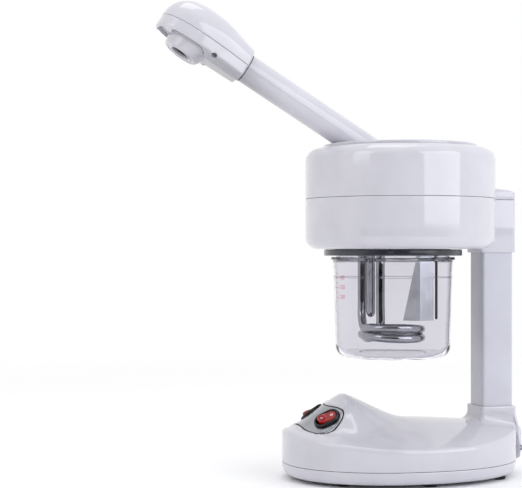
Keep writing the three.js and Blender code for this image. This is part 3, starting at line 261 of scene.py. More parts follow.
class Skin:
    """Points, in millimetres in the piece's own frame, and the faces between them."""

    def __init__(self):
        self.points = []
        self.faces = []

    def loft(self, rings, loop=False, caps=False):
        """Faces between neighbouring rings, which all have the same number of points."""
        first = len(self.points)
        count = len(rings[0])
        for ring in rings:
            self.points.extend(tuple(p) for p in ring)
        rows = len(rings) if loop else len(rings) - 1
        for row in range(rows):
            here = first + row * count
            there = first + (row + 1) % len(rings) * count
            for i in range(count):
                j = (i + 1) % count
                self.faces.append((here + i, here + j, there + j, there + i))
        if caps:
            self.fan(first, count, rings[0])
            self.fan(first + (len(rings) - 1) * count, count, rings[-1])
        return self

    def fan(self, first, count, ring):
        centre = len(self.points)
        self.points.append(tuple(sum(p[k] for p in ring) / count for k in range(3)))
        for i in range(count):
            self.faces.append((first + i, first + (i + 1) % count, centre))

    def add(self, other, matrix=None):
        first = len(self.points)
        for p in other.points:
            self.points.append(tuple(matrix @ Vector(p)) if matrix else p)
        self.faces.extend(tuple(first + i for i in face) for face in other.faces)
        return self


def rounded(corners, steps):
    """An outline whose corners (a, b, radius) are turned into arcs. A corner with no radius stays sharp."""
    outline = []
    count = len(corners)
    for i, corner in enumerate(corners):
        here = Vector(corner[:2])
        radius = corner[2] if len(corner) > 2 else 0
        if radius <= 0:
            outline.append((here.x, here.y))
            continue
        before = Vector(corners[i - 1][:2]) - here
        after = Vector(corners[(i + 1) % count][:2]) - here
        half = before.angle(after) / 2
        if half > 89.5 * DEGREE:
            outline.append((here.x, here.y))
            continue
        back = min(radius / math.tan(half), before.length * 0.49, after.length * 0.49)
        radius = back * math.tan(half)
        centre = here + (before.normalized() + after.normalized()).normalized() * radius / math.sin(half)
        start = here + before.normalized() * back - centre
        end = here + after.normalized() * back - centre
        angle = math.atan2(start.y, start.x)
        turn = (math.atan2(end.y, end.x) - angle + math.pi) % (2 * math.pi) - math.pi
        for step in range(steps + 1):
            a = angle + turn * step / steps
            outline.append((centre.x + radius * math.cos(a), centre.y + radius * math.sin(a)))
    return outline


def turned(outline, sides, loop=True):
    """A shape turned about its own z from a closed outline of (radius, z)."""
    angles = [2 * math.pi * i / sides for i in range(sides)]
    rings = [[(r * math.cos(a), r * math.sin(a), z) for a in angles] for r, z in outline]
    return Skin().loft(rings, loop=loop)


def turned_along(outline, sides, loop=True):
    """A shape turned about its own x from an outline of (x, radius)."""
    angles = [2 * math.pi * i / sides for i in range(sides)]
    rings = [[(x, r * math.cos(a), r * math.sin(a)) for a in angles] for x, r in outline]
    return Skin().loft(rings, loop=loop)


def box_outline(half_x, half_y, corner, steps):
    """A rounded rectangle about the origin, always with the same number of points."""
    corner = max(0.01, min(corner, half_x - 0.01, half_y - 0.01))
    outline = []
    for quarter, (sx, sy) in enumerate(((1, 1), (-1, 1), (-1, -1), (1, -1))):
        for step in range(steps + 1):
            a = (quarter + step / steps) * math.pi / 2
            outline.append((
                sx * (half_x - corner) + corner * math.cos(a),
                sy * (half_y - corner) + corner * math.sin(a),
            ))
    return outline


def box_ring(half_x, half_y, corner, z, x=0.0, y=0.0, steps=8):
    return [(px + x, py + y, z) for px, py in box_outline(half_x, half_y, corner, steps)]


def capped(rings):
    """A solid through the rings, closed at both ends."""
    return Skin().loft(rings, caps=True)


def rounded_block(x0, x1, y0, y1, z0, z1, corner, edge):
    """A block with rounded upright corners and rolled top and bottom edges."""
    half_x, half_y = (x1 - x0) / 2, (y1 - y0) / 2
    turns = [i * math.pi / 2 / 3 for i in range(4)]
    rings = []
    for end, inwards, steps in ((z0, 1, turns), (z1, -1, turns[::-1])):
        for a in steps:
            inset = edge * (1 - math.sin(a))
            z = end + inwards * edge * (1 - math.cos(a))
            size = (half_x - inset, half_y - inset, corner - inset)
            rings.append(box_ring(*size, z, (x0 + x1) / 2, (y0 + y1) / 2, 6))
    return capped(rings)


def catmull_rom(a, b, c, d, t):
    """The point at t on the way from b to c."""
    return 0.5 * (2 * b + (c - a) * t + (2 * a - 5 * b + 4 * c - d) * t * t + (3 * b - a - 3 * c + d) * t**3)


def smooth_path(points, per_span):
    """A Catmull-Rom curve through the points."""
    points = [Vector(p) for p in points]
    ends = [points[0] * 2 - points[1], *points, points[-1] * 2 - points[-2]]
    path = []
    for i in range(1, len(ends) - 2):
        path += [catmull_rom(*ends[i - 1 : i + 3], step / per_span) for step in range(per_span)]
    return path + [points[-1]]


def circle_about(point, side, other, radius, sides):
    """Points round a point, in the plane of two unit vectors."""
    turns = [2 * math.pi * k / sides for k in range(sides)]
    return [point + (side * math.cos(a) + other * math.sin(a)) * radius for a in turns]


def swept(path, radius, sides):
    """A round bar along a path, carried round with no twist."""
    tangents = []
    for i in range(len(path)):
        tangents.append((path[min(i + 1, len(path) - 1)] - path[max(i - 1, 0)]).normalized())
    side = tangents[0].orthogonal().normalized()
    rings = []
    for point, tangent in zip(path, tangents):
        side = (side - tangent * side.dot(tangent)).normalized()
        rings.append(circle_about(point, side, tangent.cross(side), radius, sides))
    return capped(rings)


SHARP = 34 * DEGREE


def mark_edges(obj):
    """Smooth faces everywhere, with sharp edges where faces meet at more than an angle."""
    edit = bmesh.new()
    edit.from_mesh(obj.data)
    for face in edit.faces:
        face.smooth = True
    for edge in edit.edges:
        edge.smooth = len(edge.link_faces) == 2 and edge.calc_face_angle(0.0) < SHARP
    edit.to_mesh(obj.data)
    edit.free()


def placed(name, data):
    """A new object in the scene for a mesh, curve, light or camera."""
    obj = bpy.data.objects.new(name, data)
    bpy.context.scene.collection.objects.link(obj)
    return obj


def shaped(name, skin, place):
    """A mesh object from a skin, with doubled points joined and its faces turned outwards."""
    mesh = bpy.data.meshes.new(name)
    obj = placed(name, mesh)
    edit = bmesh.new()
    points = [edit.verts.new(place @ Vector(p)) for p in skin.points]
    for face in skin.faces:
        edit.faces.new([points[i] for i in face])
    bmesh.ops.remove_doubles(edit, verts=edit.verts, dist=2e-6)
    bmesh.ops.recalc_face_normals(edit, faces=edit.faces)
    edit.to_mesh(mesh)
    edit.free()
    mark_edges(obj)
    return obj


def carve(obj, *cutters):
    """Cuts other objects out of a piece and deletes them."""
    for cutter in cutters:
        step = obj.modifiers.new("cut", "BOOLEAN")
        step.operation = "DIFFERENCE"
        step.solver = "EXACT"
        step.object = cutter
    bpy.context.view_layer.update()
    whole = obj.evaluated_get(bpy.context.evaluated_depsgraph_get())
    mesh = bpy.data.meshes.new_from_object(whole)
    obj.modifiers.clear()
    obj.data = mesh
    for cutter in cutters:
        bpy.data.objects.remove(cutter)
    mark_edges(obj)
    return obj


def middle(node):
    """The middle of a CAD node's box, in millimetres."""
    low, high = span(node)
    return (low + high) / 2


def soften(obj, width, segments=2, angle=38):
    """Rolls the sharp edges of a piece by a small radius, in millimetres."""
    step = obj.modifiers.new("rolled edges", "BEVEL")
    step.width = width * MM
    step.segments = segments
    step.limit_method = "ANGLE"
    step.angle_limit = angle * DEGREE
    return obj


def belongs(obj, body, slot, *nodes, material=None):
    """Gives a piece its finish, its body and the CAD nodes that it stands for."""
    obj.data.materials.clear()
    obj.data.materials.append(material or FINISH[slot])
    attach(obj, body)
    if nodes:
        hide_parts(*nodes)
    return obj


# ---------------------------------------------------------------- the base's surface

CASING = dict(front=115.0, rear=113.5, half_width=84.0, roundness=2.15, seam=15.5, wall=2.5)
CASING.update(crown=56.0, side_fall=18.0, side_at=80.0, end_fall=8.0, end_at=110.0)
CASING.update(rim_share=0.962, corner_drop=4.8, top_steps=66, corner_steps=8, plan_sides=208)
HUMP = dict(ridge_x=-58.0, ridge_z=83.25, front_slope=0.75, rear_slope=0.5)
HUMP.update(ridge_blend=5.0, side_curve=78.0, blend=6.0)
PANEL = dict(x=-84.0, proud=0.5, reach_x=30.0, reach_y=50.0)
PANEL_CORNERS = [
    (-101.6, 0), (-101.2, 14), (-99.4, 24), (-95.3, 31.8), (-89.4, 36.8), (-81, 37.8), (-74, 35.8),
    (-68.3, 31.8), (-66.4, 27.2), (-68.4, 21.6), (-72, 14.5), (-74.6, 7), (-75.4, 0),
]
BEAD = dict(height=1.5, away=2.5, width=1.15)
TUB = dict(depth=15.0, start=0.6, end=3.4)


def smooth_max(a, b, blend):
    return (a + b + math.hypot(a - b, blend)) / 2


def smooth_min(a, b, blend):
    return (a + b - math.hypot(a - b, blend)) / 2


def ease(x, start, end):
    t = max(0.0, min(1.0, (x - start) / (end - start)))
    return t * t * t * (t * (6 * t - 15) + 10)


def lerp(a, b, t):
    return a + (b - a) * t


def top_height(x, y):
    side = CASING["side_fall"] * (y / CASING["side_at"]) ** 2
    end = CASING["end_fall"] * (x / CASING["end_at"]) ** 2
    dome = CASING["crown"] - side - end
    front = HUMP["ridge_z"] + (x - HUMP["ridge_x"]) * HUMP["front_slope"]
    rear = HUMP["ridge_z"] - (x - HUMP["ridge_x"]) * HUMP["rear_slope"]
    hump = smooth_min(front, rear, HUMP["ridge_blend"]) - y * y / HUMP["side_curve"]
    return smooth_max(dome, hump, HUMP["blend"]) - HUMP["blend"] / 4


def top_normal(x, y):
    step = 0.5
    slope_x = (top_height(x + step, y) - top_height(x - step, y)) / (2 * step)
    slope_y = (top_height(x, y + step) - top_height(x, y - step)) / (2 * step)
    return Vector((-slope_x, -slope_y, 1)).normalized()


def off_top(x, y, distance):
    return Vector((x, y, top_height(x, y))) + top_normal(x, y) * distance


def casing_plan(angle, inset=0.0):
    power = 2 / CASING["roundness"]
    cos, sin = math.cos(angle), math.sin(angle)
    reach = (CASING["front"] if cos < 0 else CASING["rear"]) - inset
    return (
        math.copysign(reach * abs(cos) ** power, cos),
        math.copysign((CASING["half_width"] - inset) * abs(sin) ** power, sin),
    )


def closed_curve(points, per_span):
    """A closed Catmull-Rom curve in plan."""
    count = len(points)
    outline = []
    for i in range(count):
        corners = [Vector(points[(i + k) % count]) for k in (-1, 0, 1, 2)]
        for step in range(per_span):
            p = catmull_rom(*corners, step / per_span)
            outline.append((p.x, p.y))
    return outline


PANEL_OUTLINE = closed_curve(PANEL_CORNERS + [(x, -y) for x, y in PANEL_CORNERS[-2:0:-1]], 8)


def panel_distance(x, y):
    """How far a point lies outside the switch panel's outline, seen from above. Negative inside."""
    if abs(x - PANEL["x"]) > PANEL["reach_x"] or abs(y) > PANEL["reach_y"]:
        return PANEL["reach_x"]
    nearest = math.inf
    inside = False
    for i, (ax, ay) in enumerate(PANEL_OUTLINE):
        bx, by = PANEL_OUTLINE[i - 1]
        run_x, run_y = bx - ax, by - ay
        t = max(0.0, min(1.0, ((x - ax) * run_x + (y - ay) * run_y) / (run_x * run_x + run_y * run_y)))
        nearest = min(nearest, math.hypot(ax + run_x * t - x, ay + run_y * t - y))
        if (ay > y) != (by > y) and x < ax + run_x * (y - ay) / run_y:
            inside = not inside
    return -nearest if inside else nearest


def casing_relief(x, y):
    """The raised bead round the switch panel, and the tub under it."""
    away = panel_distance(x, y)
    bead = BEAD["height"] * math.exp(-(((away - BEAD["away"]) / BEAD["width"]) ** 2))
    return bead - TUB["depth"] * ease(-away, TUB["start"], TUB["end"])


PLAN_ANGLES = [2 * math.pi * i / CASING["plan_sides"] for i in range(CASING["plan_sides"])]


def casing_rings(inset):
    """Rings from the middle of the casing's top out to its rim and round the rim's corner."""
    rings = []
    rim = CASING["rim_share"]
    for step in range(1, CASING["top_steps"] + 1):
        share = rim * step / CASING["top_steps"]
        ring = []
        for angle in PLAN_ANGLES:
            x, y = (c * share for c in casing_plan(angle, inset))
            ring.append(Vector((x, y, top_height(x, y) - inset)) + top_normal(x, y) * casing_relief(x, y))
        rings.append(ring)
    for step in range(1, CASING["corner_steps"] + 1):
        turn = step / CASING["corner_steps"] * math.pi / 2
        share = rim + (1 - rim) * math.sin(turn)
        drop = CASING["corner_drop"] * (1 - math.cos(turn))
        ring = []
        for angle in PLAN_ANGLES:
            x, y = casing_plan(angle, inset)
            ring.append(Vector((x * share, y * share, top_height(x * rim, y * rim) - inset - drop)))
        rings.append(ring)
    return rings


def plan_rings(profile):
    """Level rings of the base's plan from (inset, z) pairs."""
    return [[(*casing_plan(angle, inset), z) for angle in PLAN_ANGLES] for inset, z in profile]


def shrunk(ring, shares):
    """Copies of a level ring drawn in towards the drum's axis."""
    return [[(x * share, y * share, z) for x, y, z in ring] for share in shares]


SEAM_LIP = [(0.0, 1.2), (0.08, 0.6), (0.3, 0.25), (0.8, 0.18)]
TRAY_FOOT = [
    (0.25, 11.5), (0.8, 8.6), (1.9, 6.2), (3.4, 4.6), (5.4, 3.6), (8.0, 3.1), (10.5, 3.0), (13.0, 3.0),
    (13.6, 3.3), (13.8, 4.0),
]
VENT = dict(x=18.0, half_length=13.0, half_width=1.6, rows=5, pitch=10.0)
TRAY_CUT = dict(low=1.0, high=9.0, screw_radius=4.2, corner=1.5, edge=0.2)


def base_upper():
    seam, wall = CASING["seam"], CASING["wall"]
    lip = plan_rings([(inset, seam + up) for inset, up in SEAM_LIP] + [(wall, seam + SEAM_LIP[-1][1])])
    return shaped("base_casing", capped(casing_rings(0.0) + lip + casing_rings(wall)[::-1]), BODY)


def base_lower():
    seam = CASING["seam"]
    outside = plan_rings([(inset, seam - down) for inset, down in SEAM_LIP[::-1]] + TRAY_FOOT)
    under = shrunk(outside[-1], (0.8, 0.55, 0.3, 0.1))
    inside = plan_rings([(9.4, 6.4), (5.0, 7.0), (3.4, 9.0), (CASING["wall"], seam - 0.35)])
    over = shrunk(inside[0], (0.1, 0.5))
    tray = shaped("base_tray", Skin().loft(outside + under + over + inside, loop=True), BODY)
    r, low, high, corner, edge = (TRAY_CUT[k] for k in ("screw_radius", "low", "high", "corner", "edge"))
    cutters = []
    for node in ("base_screw_1", "base_screw_2"):
        well = turned([(0, low), (r, low), (r, high), (0, high)], 48, loop=False)
        cutters.append(shaped("cutter", well, BODY @ Matrix.Translation((middle(node).x, 0, 0))))
    for x in (-VENT["x"], VENT["x"]):
        for row in range(VENT["rows"]):
            y = (row - (VENT["rows"] - 1) / 2) * VENT["pitch"]
            half_x, half_y = VENT["half_length"], VENT["half_width"]
            slot = rounded_block(x - half_x, x + half_x, y - half_y, y + half_y, low, high, corner, edge)
            cutters.append(shaped("cutter", slot, BODY))
    return carve(tray, *cutters)


belongs(base_upper(), "base", "shell_white", "base_upper_shell")
belongs(base_lower(), "base", "shell_white", "base_lower_shell")


def seam_band():
    """A dark band painted into the gap between the two halves of the base, as the shadow in that gap."""
    low, high = CASING["seam"] - 0.22, CASING["seam"] + 0.22
    rings = plan_rings([(0.6, high), (0.6, low), (1.6, low), (1.6, high)])
    return shaped("base_seam_shadow", Skin().loft(rings, loop=True), BODY)


belongs(seam_band(), "base", "black_matte", material=PAINTED_GAP_SHADOW)

# ---------------------------------------------------------------- pedestal

COLUMN_LOW, COLUMN_HIGH = span("column")
COLUMN_X = (COLUMN_LOW.x + COLUMN_HIGH.x) / 2
COLUMN_HALF_X = (COLUMN_HIGH.x - COLUMN_LOW.x) / 2
COLUMN_HALF_Y = (COLUMN_HIGH.y - COLUMN_LOW.y) / 2
COLUMN_PLAY = 0.3
PEDESTAL = dict(top=65.0, half_length=18.8, half_width=18.3, fillet=8.5, rear_grow=3.5, side_grow=7.0)
PEDESTAL.update(roll=1.2, straight=0.45, rear_from=13.5, levels=24, steps=10)


def about_column(half_x, half_y, corner, z, steps=8):
    """A rounded rectangle about the column's middle."""
    return box_ring(half_x, half_y, corner, z, COLUMN_X, 0, steps)


def pedestal():
    """The column's foot: a hollow sweep onto the casing in front, and an upright wall at the rear."""
    half_x, half_y, steps = PEDESTAL["half_length"], PEDESTAL["half_width"], PEDESTAL["steps"]
    outline = box_outline(half_x, half_y, 4.0, steps)
    count = len(outline)
    normals = []
    for i in range(count):
        along = (Vector(outline[(i + 1) % count]) - Vector(outline[i - 1])).normalized()
        normals.append(Vector((along.y, -along.x)))
    top, fillet, straight = PEDESTAL["top"], PEDESTAL["fillet"], PEDESTAL["straight"]
    start = top - PEDESTAL["roll"]

    def flared(i, share):
        """On the front and sides: down the wall, then out in a hollow sweep onto the casing."""
        x, y = outline[i]
        meet = top_height(COLUMN_X + x, y) + fillet
        if share <= straight:
            return Vector((x, y, lerp(start, meet, share / straight)))
        turn = (share - straight) / (1 - straight) * math.pi / 2
        away = fillet * (1 - math.cos(turn))
        x, y = x + normals[i].x * away, y + normals[i].y * away
        sunk = 0.12 * (share == 1)
        return Vector((x, y, top_height(COLUMN_X + x, y) + fillet * (1 - math.sin(turn)) - sunk))

    def upright(i, share):
        """At the rear: down past the casing's rim to the seam, growing a little."""
        x, y = outline[i]
        z = lerp(start, CASING["seam"] + 0.35, share)
        rear = PEDESTAL["rear_grow"] * ease(top - z, 0, 30) * max(0.0, normals[i].x)
        side = PEDESTAL["side_grow"] * ease(top - z, 4, 26) * normals[i].y
        return Vector((x + rear, y + side, z))

    rings = []
    for level in range(PEDESTAL["levels"] + 1):
        share = level / PEDESTAL["levels"]
        ring = []
        for i in range(count):
            weight = ease(outline[i][0], PEDESTAL["rear_from"], half_x)
            point = flared(i, share).lerp(upright(i, share), weight)
            ring.append((point.x + COLUMN_X, point.y, point.z))
        rings.append(ring)
    inner_x, inner_y = COLUMN_HALF_X + COLUMN_PLAY, COLUMN_HALF_Y + COLUMN_PLAY
    rim = [
        about_column(inner_x, inner_y, 3, top - 15, steps),
        about_column(inner_x, inner_y, 3, top - 0.5, steps),
        about_column(inner_x + 0.5, inner_y + 0.5, 3.4, top, steps),
        about_column(half_x - 1.2, half_y - 1.2, 2.8, top, steps),
        about_column(half_x - 0.35, half_y - 0.35, 3.6, top - 0.35, steps),
    ]
    buried = [
        [(lerp(COLUMN_X, x, 0.86), y * 0.86, z - 3) for x, y, z in rings[-1]],
        [(lerp(COLUMN_X, x, 0.3), y * 0.3, 30) for x, y, z in rings[-1]],
    ]
    solid = shaped("column_pedestal", capped(rim + rings + buried), BODY)
    low, high = span("power_inlet")
    socket = rounded_block(low.x - 1, high.x + 6, low.y + 1, high.y - 1, low.z + 1, high.z - 1, 2, 0.1)
    return carve(solid, shaped("cutter", socket, BODY))


belongs(pedestal(), "base", "shell_white")

# ---------------------------------------------------------------- switch panel and rockers

SWITCH = dict(x=-80.5, y=23.5, half_length=12.7, half_width=9.0, wall=2.3, play=0.3)
SWITCH.update(foot=-12.0, outer_z=1.5, outer_roll=1.1, inner_z=1.9, inner_roll=0.7, bore_foot=-9.0)


def switch_frame(node):
    """The frame of a switch on the base's top: z outwards, x up the slope. The node gives its side."""
    x, y = SWITCH["x"], math.copysign(SWITCH["y"], middle(node).y)
    normal = top_normal(x, y)
    across = normal.cross(Vector((1, 0, 0))).normalized()
    origin = BODY @ off_top(x, y, PANEL["proud"])
    return own_frame(origin, across.cross(normal), normal)


def stadium(half_x, half_y, z, corner=None):
    return box_ring(half_x, half_y, corner if corner else half_y - 0.2, z, steps=14)


def switch_bezel(name, node):
    """The black frame round a rocker, with a rolled outer and inner edge."""
    s = SWITCH
    half_x, half_y, wall = s["half_length"], s["half_width"], s["wall"]
    rings = [stadium(half_x, half_y, s["foot"]), stadium(half_x, half_y, s["outer_z"])]
    for step in range(1, 6):
        a = step / 5 * math.pi / 2
        inset = s["outer_roll"] * (1 - math.cos(a))
        rings.append(stadium(half_x - inset, half_y - inset, s["outer_z"] + s["outer_roll"] * math.sin(a)))
    inner_x, inner_y = half_x - wall, half_y - wall
    for step in range(5):
        a = (1 - step / 4) * math.pi / 2
        grow = s["inner_roll"] * (1 - math.cos(a))
        z = s["inner_z"] + s["inner_roll"] * math.sin(a)
        rings.append(stadium(inner_x + grow, inner_y + grow, z, inner_y - 0.3))
    rings.append(stadium(inner_x, inner_y, s["bore_foot"], inner_y - 0.3))
    return shaped(name, capped(rings), switch_frame(node))


def switch_hole(node):
    """The hole that a switch's frame needs in the panel."""
    half_x, half_y = SWITCH["half_length"] + SWITCH["play"], SWITCH["half_width"] + SWITCH["play"]
    hole = capped([stadium(half_x, half_y, -14), stadium(half_x, half_y, 6)])
    return shaped("cutter", hole, switch_frame(node))


ROCKER = dict(half_length=9.3, half_width=6.1, valley=3.3, rise=1.8, end=8.7, tilt=10.0, roll=1.1)
MARKS = dict(low=-0.3, high=0.06, bar_start=-6.2, bar_end=-3.8, bar_half=0.3)
MARKS.update(ring_x=4.9, ring_inner=0.9, ring_outer=1.4)


def rocker_top(x):
    return ROCKER["valley"] + ROCKER["rise"] * smooth_max(abs(x) / ROCKER["end"], 0.04, 0.16)


def rocker_frame(node):
    tilt = Matrix.Rotation(ROCKER["tilt"] * DEGREE, 4, "Y")
    return switch_frame(node) @ Matrix.Translation((0, 0, -1)) @ tilt


def rocker(name, node):
    """The lens: two wings that rise from a valley, with a rolled edge."""
    half_x, half_y, roll = ROCKER["half_length"], ROCKER["half_width"], ROCKER["roll"]
    rings = []
    for share in (0.03, 0.15, 0.3, 0.45, 0.6, 0.72, 0.82, 0.88):
        rings.append([(x, y, rocker_top(x)) for x, y, _ in stadium(half_x * share, half_y * share, 0)])
    for step in range(1, 6):
        a = step / 5 * math.pi / 2
        inset = roll * (1 - math.sin(a))
        drop = roll * (1 - math.cos(a))
        rings.append([(x, y, rocker_top(x) - drop) for x, y, _ in stadium(half_x - inset, half_y - inset, 0)])
    for share in (0.5, 1.0):
        ring = []
        for x, y, _ in stadium(half_x, half_y, 0):
            floor_z = -3 - 2 * (1 - abs(x) / 10)
            ring.append((x * (1 - 0.06 * share), y, lerp(rocker_top(x) - roll, floor_z, share)))
        rings.append(ring)
    return shaped(name, capped(rings), rocker_frame(node))


def rocker_marks(name, node):
    """A bar at one end of the rocker and a ring at the other, the usual on and off marks."""
    m = MARKS
    ends, half = (m["bar_start"], m["bar_end"]), m["bar_half"]
    bar = [(ends[0], -half), (ends[1], -half), (ends[1], half), (ends[0], half)]
    skin = capped([[(x, y, rocker_top(x) + z) for x, y in bar] for z in (m["low"], m["high"])])
    low, high, inner, outer = (m[k] for k in ("low", "high", "ring_inner", "ring_outer"))
    turns = [2 * math.pi * i / 40 for i in range(40)]
    rings = []
    for radius, z in ((inner, low), (inner, high), (outer, high), (outer, low)):
        circle = [(m["ring_x"] + radius * math.cos(a), radius * math.sin(a)) for a in turns]
        rings.append([(x, y, rocker_top(x) + z) for x, y in circle])
    skin.loft(rings, loop=True)
    return shaped(name, skin, rocker_frame(node))


BEZELS = ("steam_switch_bezel", "ozone_switch_bezel")
for bezel, body in zip(BEZELS, ("steam_rocker", "ozone_rocker")):
    belongs(switch_bezel(bezel.replace("_switch", ""), bezel), "base", "black_gloss", bezel)
    belongs(rocker(f"{body}_lens", body), body, "rocker_red", body)
    belongs(rocker_marks(f"{body}_marks", body), body, "rocker_red", material=MARK_WHITE)


RIBS = dict(start=33.2, full=34.2, edge=0.965, depth=0.35, pitch=1.7)


def panel_plate():
    """The silver oval under the switches, ribbed at its two ends."""
    proud = PANEL["proud"]

    def ring(share, height):
        points = []
        for px, py in PANEL_OUTLINE:
            x, y = lerp(PANEL["x"], px, share), py * share
            outer = ease(abs(y), RIBS["start"], RIBS["full"]) * (share < RIBS["edge"])
            ribs = -RIBS["depth"] * outer * (0.5 + 0.5 * math.cos(x * 2 * math.pi / RIBS["pitch"]))
            points.append(off_top(x, y, height + ribs))
        return points

    flat = [
        0.04, 0.12, 0.2, 0.28, 0.36, 0.44, 0.52, 0.6, 0.66, 0.72, 0.77, 0.82, 0.86, 0.9, 0.93, 0.955, 0.97,
    ]
    edge = [(0.985, 0.12), (0.993, 0.5), (0.993, 2.2), (0.5, 2.2), (0.04, 2.2)]
    rings = [ring(share, proud) for share in flat] + [ring(share, proud - down) for share, down in edge]
    return carve(shaped("switch_plate", capped(rings), BODY), *[switch_hole(node) for node in BEZELS])


def panel_shadow_bead():
    """A thin black bead between the panel and the casing, painted as the shadow in the gap round the panel.
    """
    path = [off_top(lerp(PANEL["x"], x, 1.012), y * 1.012, 0.2) for x, y in PANEL_OUTLINE]
    rings = []
    for i, point in enumerate(path):
        tangent = (path[(i + 1) % len(path)] - path[i - 1]).normalized()
        out = top_normal(point.x, point.y)
        rings.append(circle_about(point, tangent.cross(out).normalized(), out, 0.75, 10))
    return shaped("panel_shadow_bead", Skin().loft(rings, loop=True), BODY)


belongs(panel_plate(), "base", "panel_silver", "switch_panel")
belongs(panel_shadow_bead(), "base", "black_matte")

# ---------------------------------------------------------------- feet and screws


def rubber_foot(node):
    low, high = span(node)
    r = (high.x - low.x) / 2
    tall = high.z - low.z
    outline = rounded([
        (0, 0.35), (r * 0.42, 0.35, 0.15), (r * 0.48, 0, 0.15), (r - 0.9, 0, 0.4), (r, 1.0, 0.4),
        (r, tall, 0.2), (0, tall),
    ], 3)
    place = BODY @ Matrix.Translation((middle(node).x, middle(node).y, low.z))
    return shaped(f"{node}_pad", turned(outline, 56), place)


for node in [n for n in frame["nodes"] if n.startswith("foot_")]:
    belongs(rubber_foot(node), "base", "foot_rubber", node)


def cross_head_screw(name, place, head_radius, head_height, shank_radius, shank_length):
    """A pan-head screw with a cross recess. Its head points to +z, and its seat is at z = 0."""
    outline = rounded([
        (0, head_height), (head_radius * 0.75, head_height * 0.93, 0.4),
        (head_radius, head_height * 0.35, 0.3), (head_radius, 0, 0.1),
        (shank_radius, 0), (shank_radius, -shank_length), (0, -shank_length - 0.6),
    ], 3)
    screw = shaped(name, turned(outline, 48), place)
    arm, wide = head_radius * 0.62, head_radius * 0.13
    cutters = []
    for along, across, foot in ((arm, wide, (0.55, 0.7)), (wide, arm, (0.55, 0.55))):
        recess = capped([
            box_ring(along * foot[0], across * foot[1], 0.05, -0.1 * head_height, steps=2),
            box_ring(along, across, 0.08, head_height + 0.6, steps=2),
        ])
        cutters.append(shaped("cutter", recess, place))
    return carve(screw, *cutters)


for node in ("base_screw_1", "base_screw_2"):
    low, high = span(node)
    face_down = own_frame(BODY @ Vector((middle(node).x, 0, low.z + 2.0)), (1, 0, 0), (0, 0, -1))
    screw = cross_head_screw(f"{node}_pan", face_down, 3.8, 2.0, 1.6, high.z - low.z - 2.6)
    belongs(screw, "base", "screw_steel", node)
for node in ("rear_screw_near", "rear_screw_far"):
    seat = Vector((span(node)[1].x - 1.9, middle(node).y, middle(node).z))
    face_back = own_frame(BODY @ seat, (0, 0, 1), (1, 0, 0))
    belongs(cross_head_screw(f"{node}_pan", face_back, 2.6, 1.9, 1.5, 8), "base", "screw_steel", node)

# ---------------------------------------------------------------- column


def column():
    half_x, half_y, levels = COLUMN_HALF_X, COLUMN_HALF_Y, 12
    low, high = COLUMN_LOW.z, COLUMN_HIGH.z
    rings = [about_column(half_x - 2, half_y - 2, 2, low)]
    rings += [about_column(half_x, half_y, 3, lerp(low, high, level / levels)) for level in range(levels + 1)]
    rings.append(about_column(half_x - 2, half_y - 2, 2, high))
    return shaped("column_tube", Skin().loft(rings, loop=True), BODY)


belongs(column(), "base", "column_white", "column")

# ---------------------------------------------------------------- drum housing

DRUM = dict(radius=91.0, bottom=217.0, seam=265.1, shoulder=298.0, top=313.3, wall=2.5, corner=12.0)
DRUM.update(half_seam=0.16, jar_mouth=58.0, bore=67.2)
SLEEVE = dict(x=95.0, half_x=18.6, half_y=17.4, bottom=213.9, corner=3.5)
SLEEVE_LIP = [(0.16, 0.6), (0.3, 0.12), (0.8, 0.0)]
NECK_CAP = [
    (5.5, 0, 0), (6.9, 0.15, 0.3), (8.1, 0.5, 1.2), (9.0, 1.0, 2.6), (9.6, 1.6, 4.4), (10.0, 2.3, 7.0),
    (10.4, 2.9, 10.0), (11.1, 3.5, 13.2), (12.3, 4.2, 16.2), (14.1, 5.0, 18.8), (16.7, 6.0, 20.8),
    (19.9, 7.2, 22.0),
]


def sleeve_ring(z, inset=0.0, pull=0.0):
    """A ring of the neck sleeve. Pull draws its rear face in towards the drum."""
    half_x = SLEEVE["half_x"] - inset - pull / 2
    corner = SLEEVE["corner"] + pull / 4
    return box_ring(half_x, SLEEVE["half_y"] - inset, corner, z, SLEEVE["x"] - pull / 2)


def drum_lower():
    """The drum's lower shell, open over the jar, and the neck sleeve that takes the column."""
    r, bottom, wall = DRUM["radius"], DRUM["bottom"], DRUM["wall"]
    top = DRUM["seam"] - DRUM["half_seam"]
    outline = rounded([
        (0, bottom), (r, bottom, DRUM["corner"]), (r, top, 0.5), (r - wall, top),
        (r - wall, bottom + wall, 9), (0, bottom + wall),
    ], 10)
    bowl = shaped("drum_lower_shell", turned(outline, 192), BODY)
    bore = DRUM["jar_mouth"]
    mouth = [(0, bottom - 2), (bore, bottom - 2), (bore, bottom + 6), (0, bottom + 6)]
    carve(bowl, shaped("cutter", turned(mouth, 144, loop=False), JAR_PLACE))
    half_x, half_y, low = COLUMN_HALF_X + COLUMN_PLAY, COLUMN_HALF_Y + COLUMN_PLAY, SLEEVE["bottom"]
    rings = [
        about_column(half_x, half_y, 3, low + 16), about_column(half_x, half_y, 3, low + 0.4),
        about_column(half_x + 0.4, half_y + 0.4, 3.2, low),
        sleeve_ring(low, 0.8), sleeve_ring(low + 0.25, 0.25), sleeve_ring(low + 0.8), sleeve_ring(240),
    ]
    rings += [sleeve_ring(DRUM["seam"] - down, inset) for down, inset in SLEEVE_LIP[::-1]]
    return bowl, shaped("neck_sleeve", capped(rings), BODY)


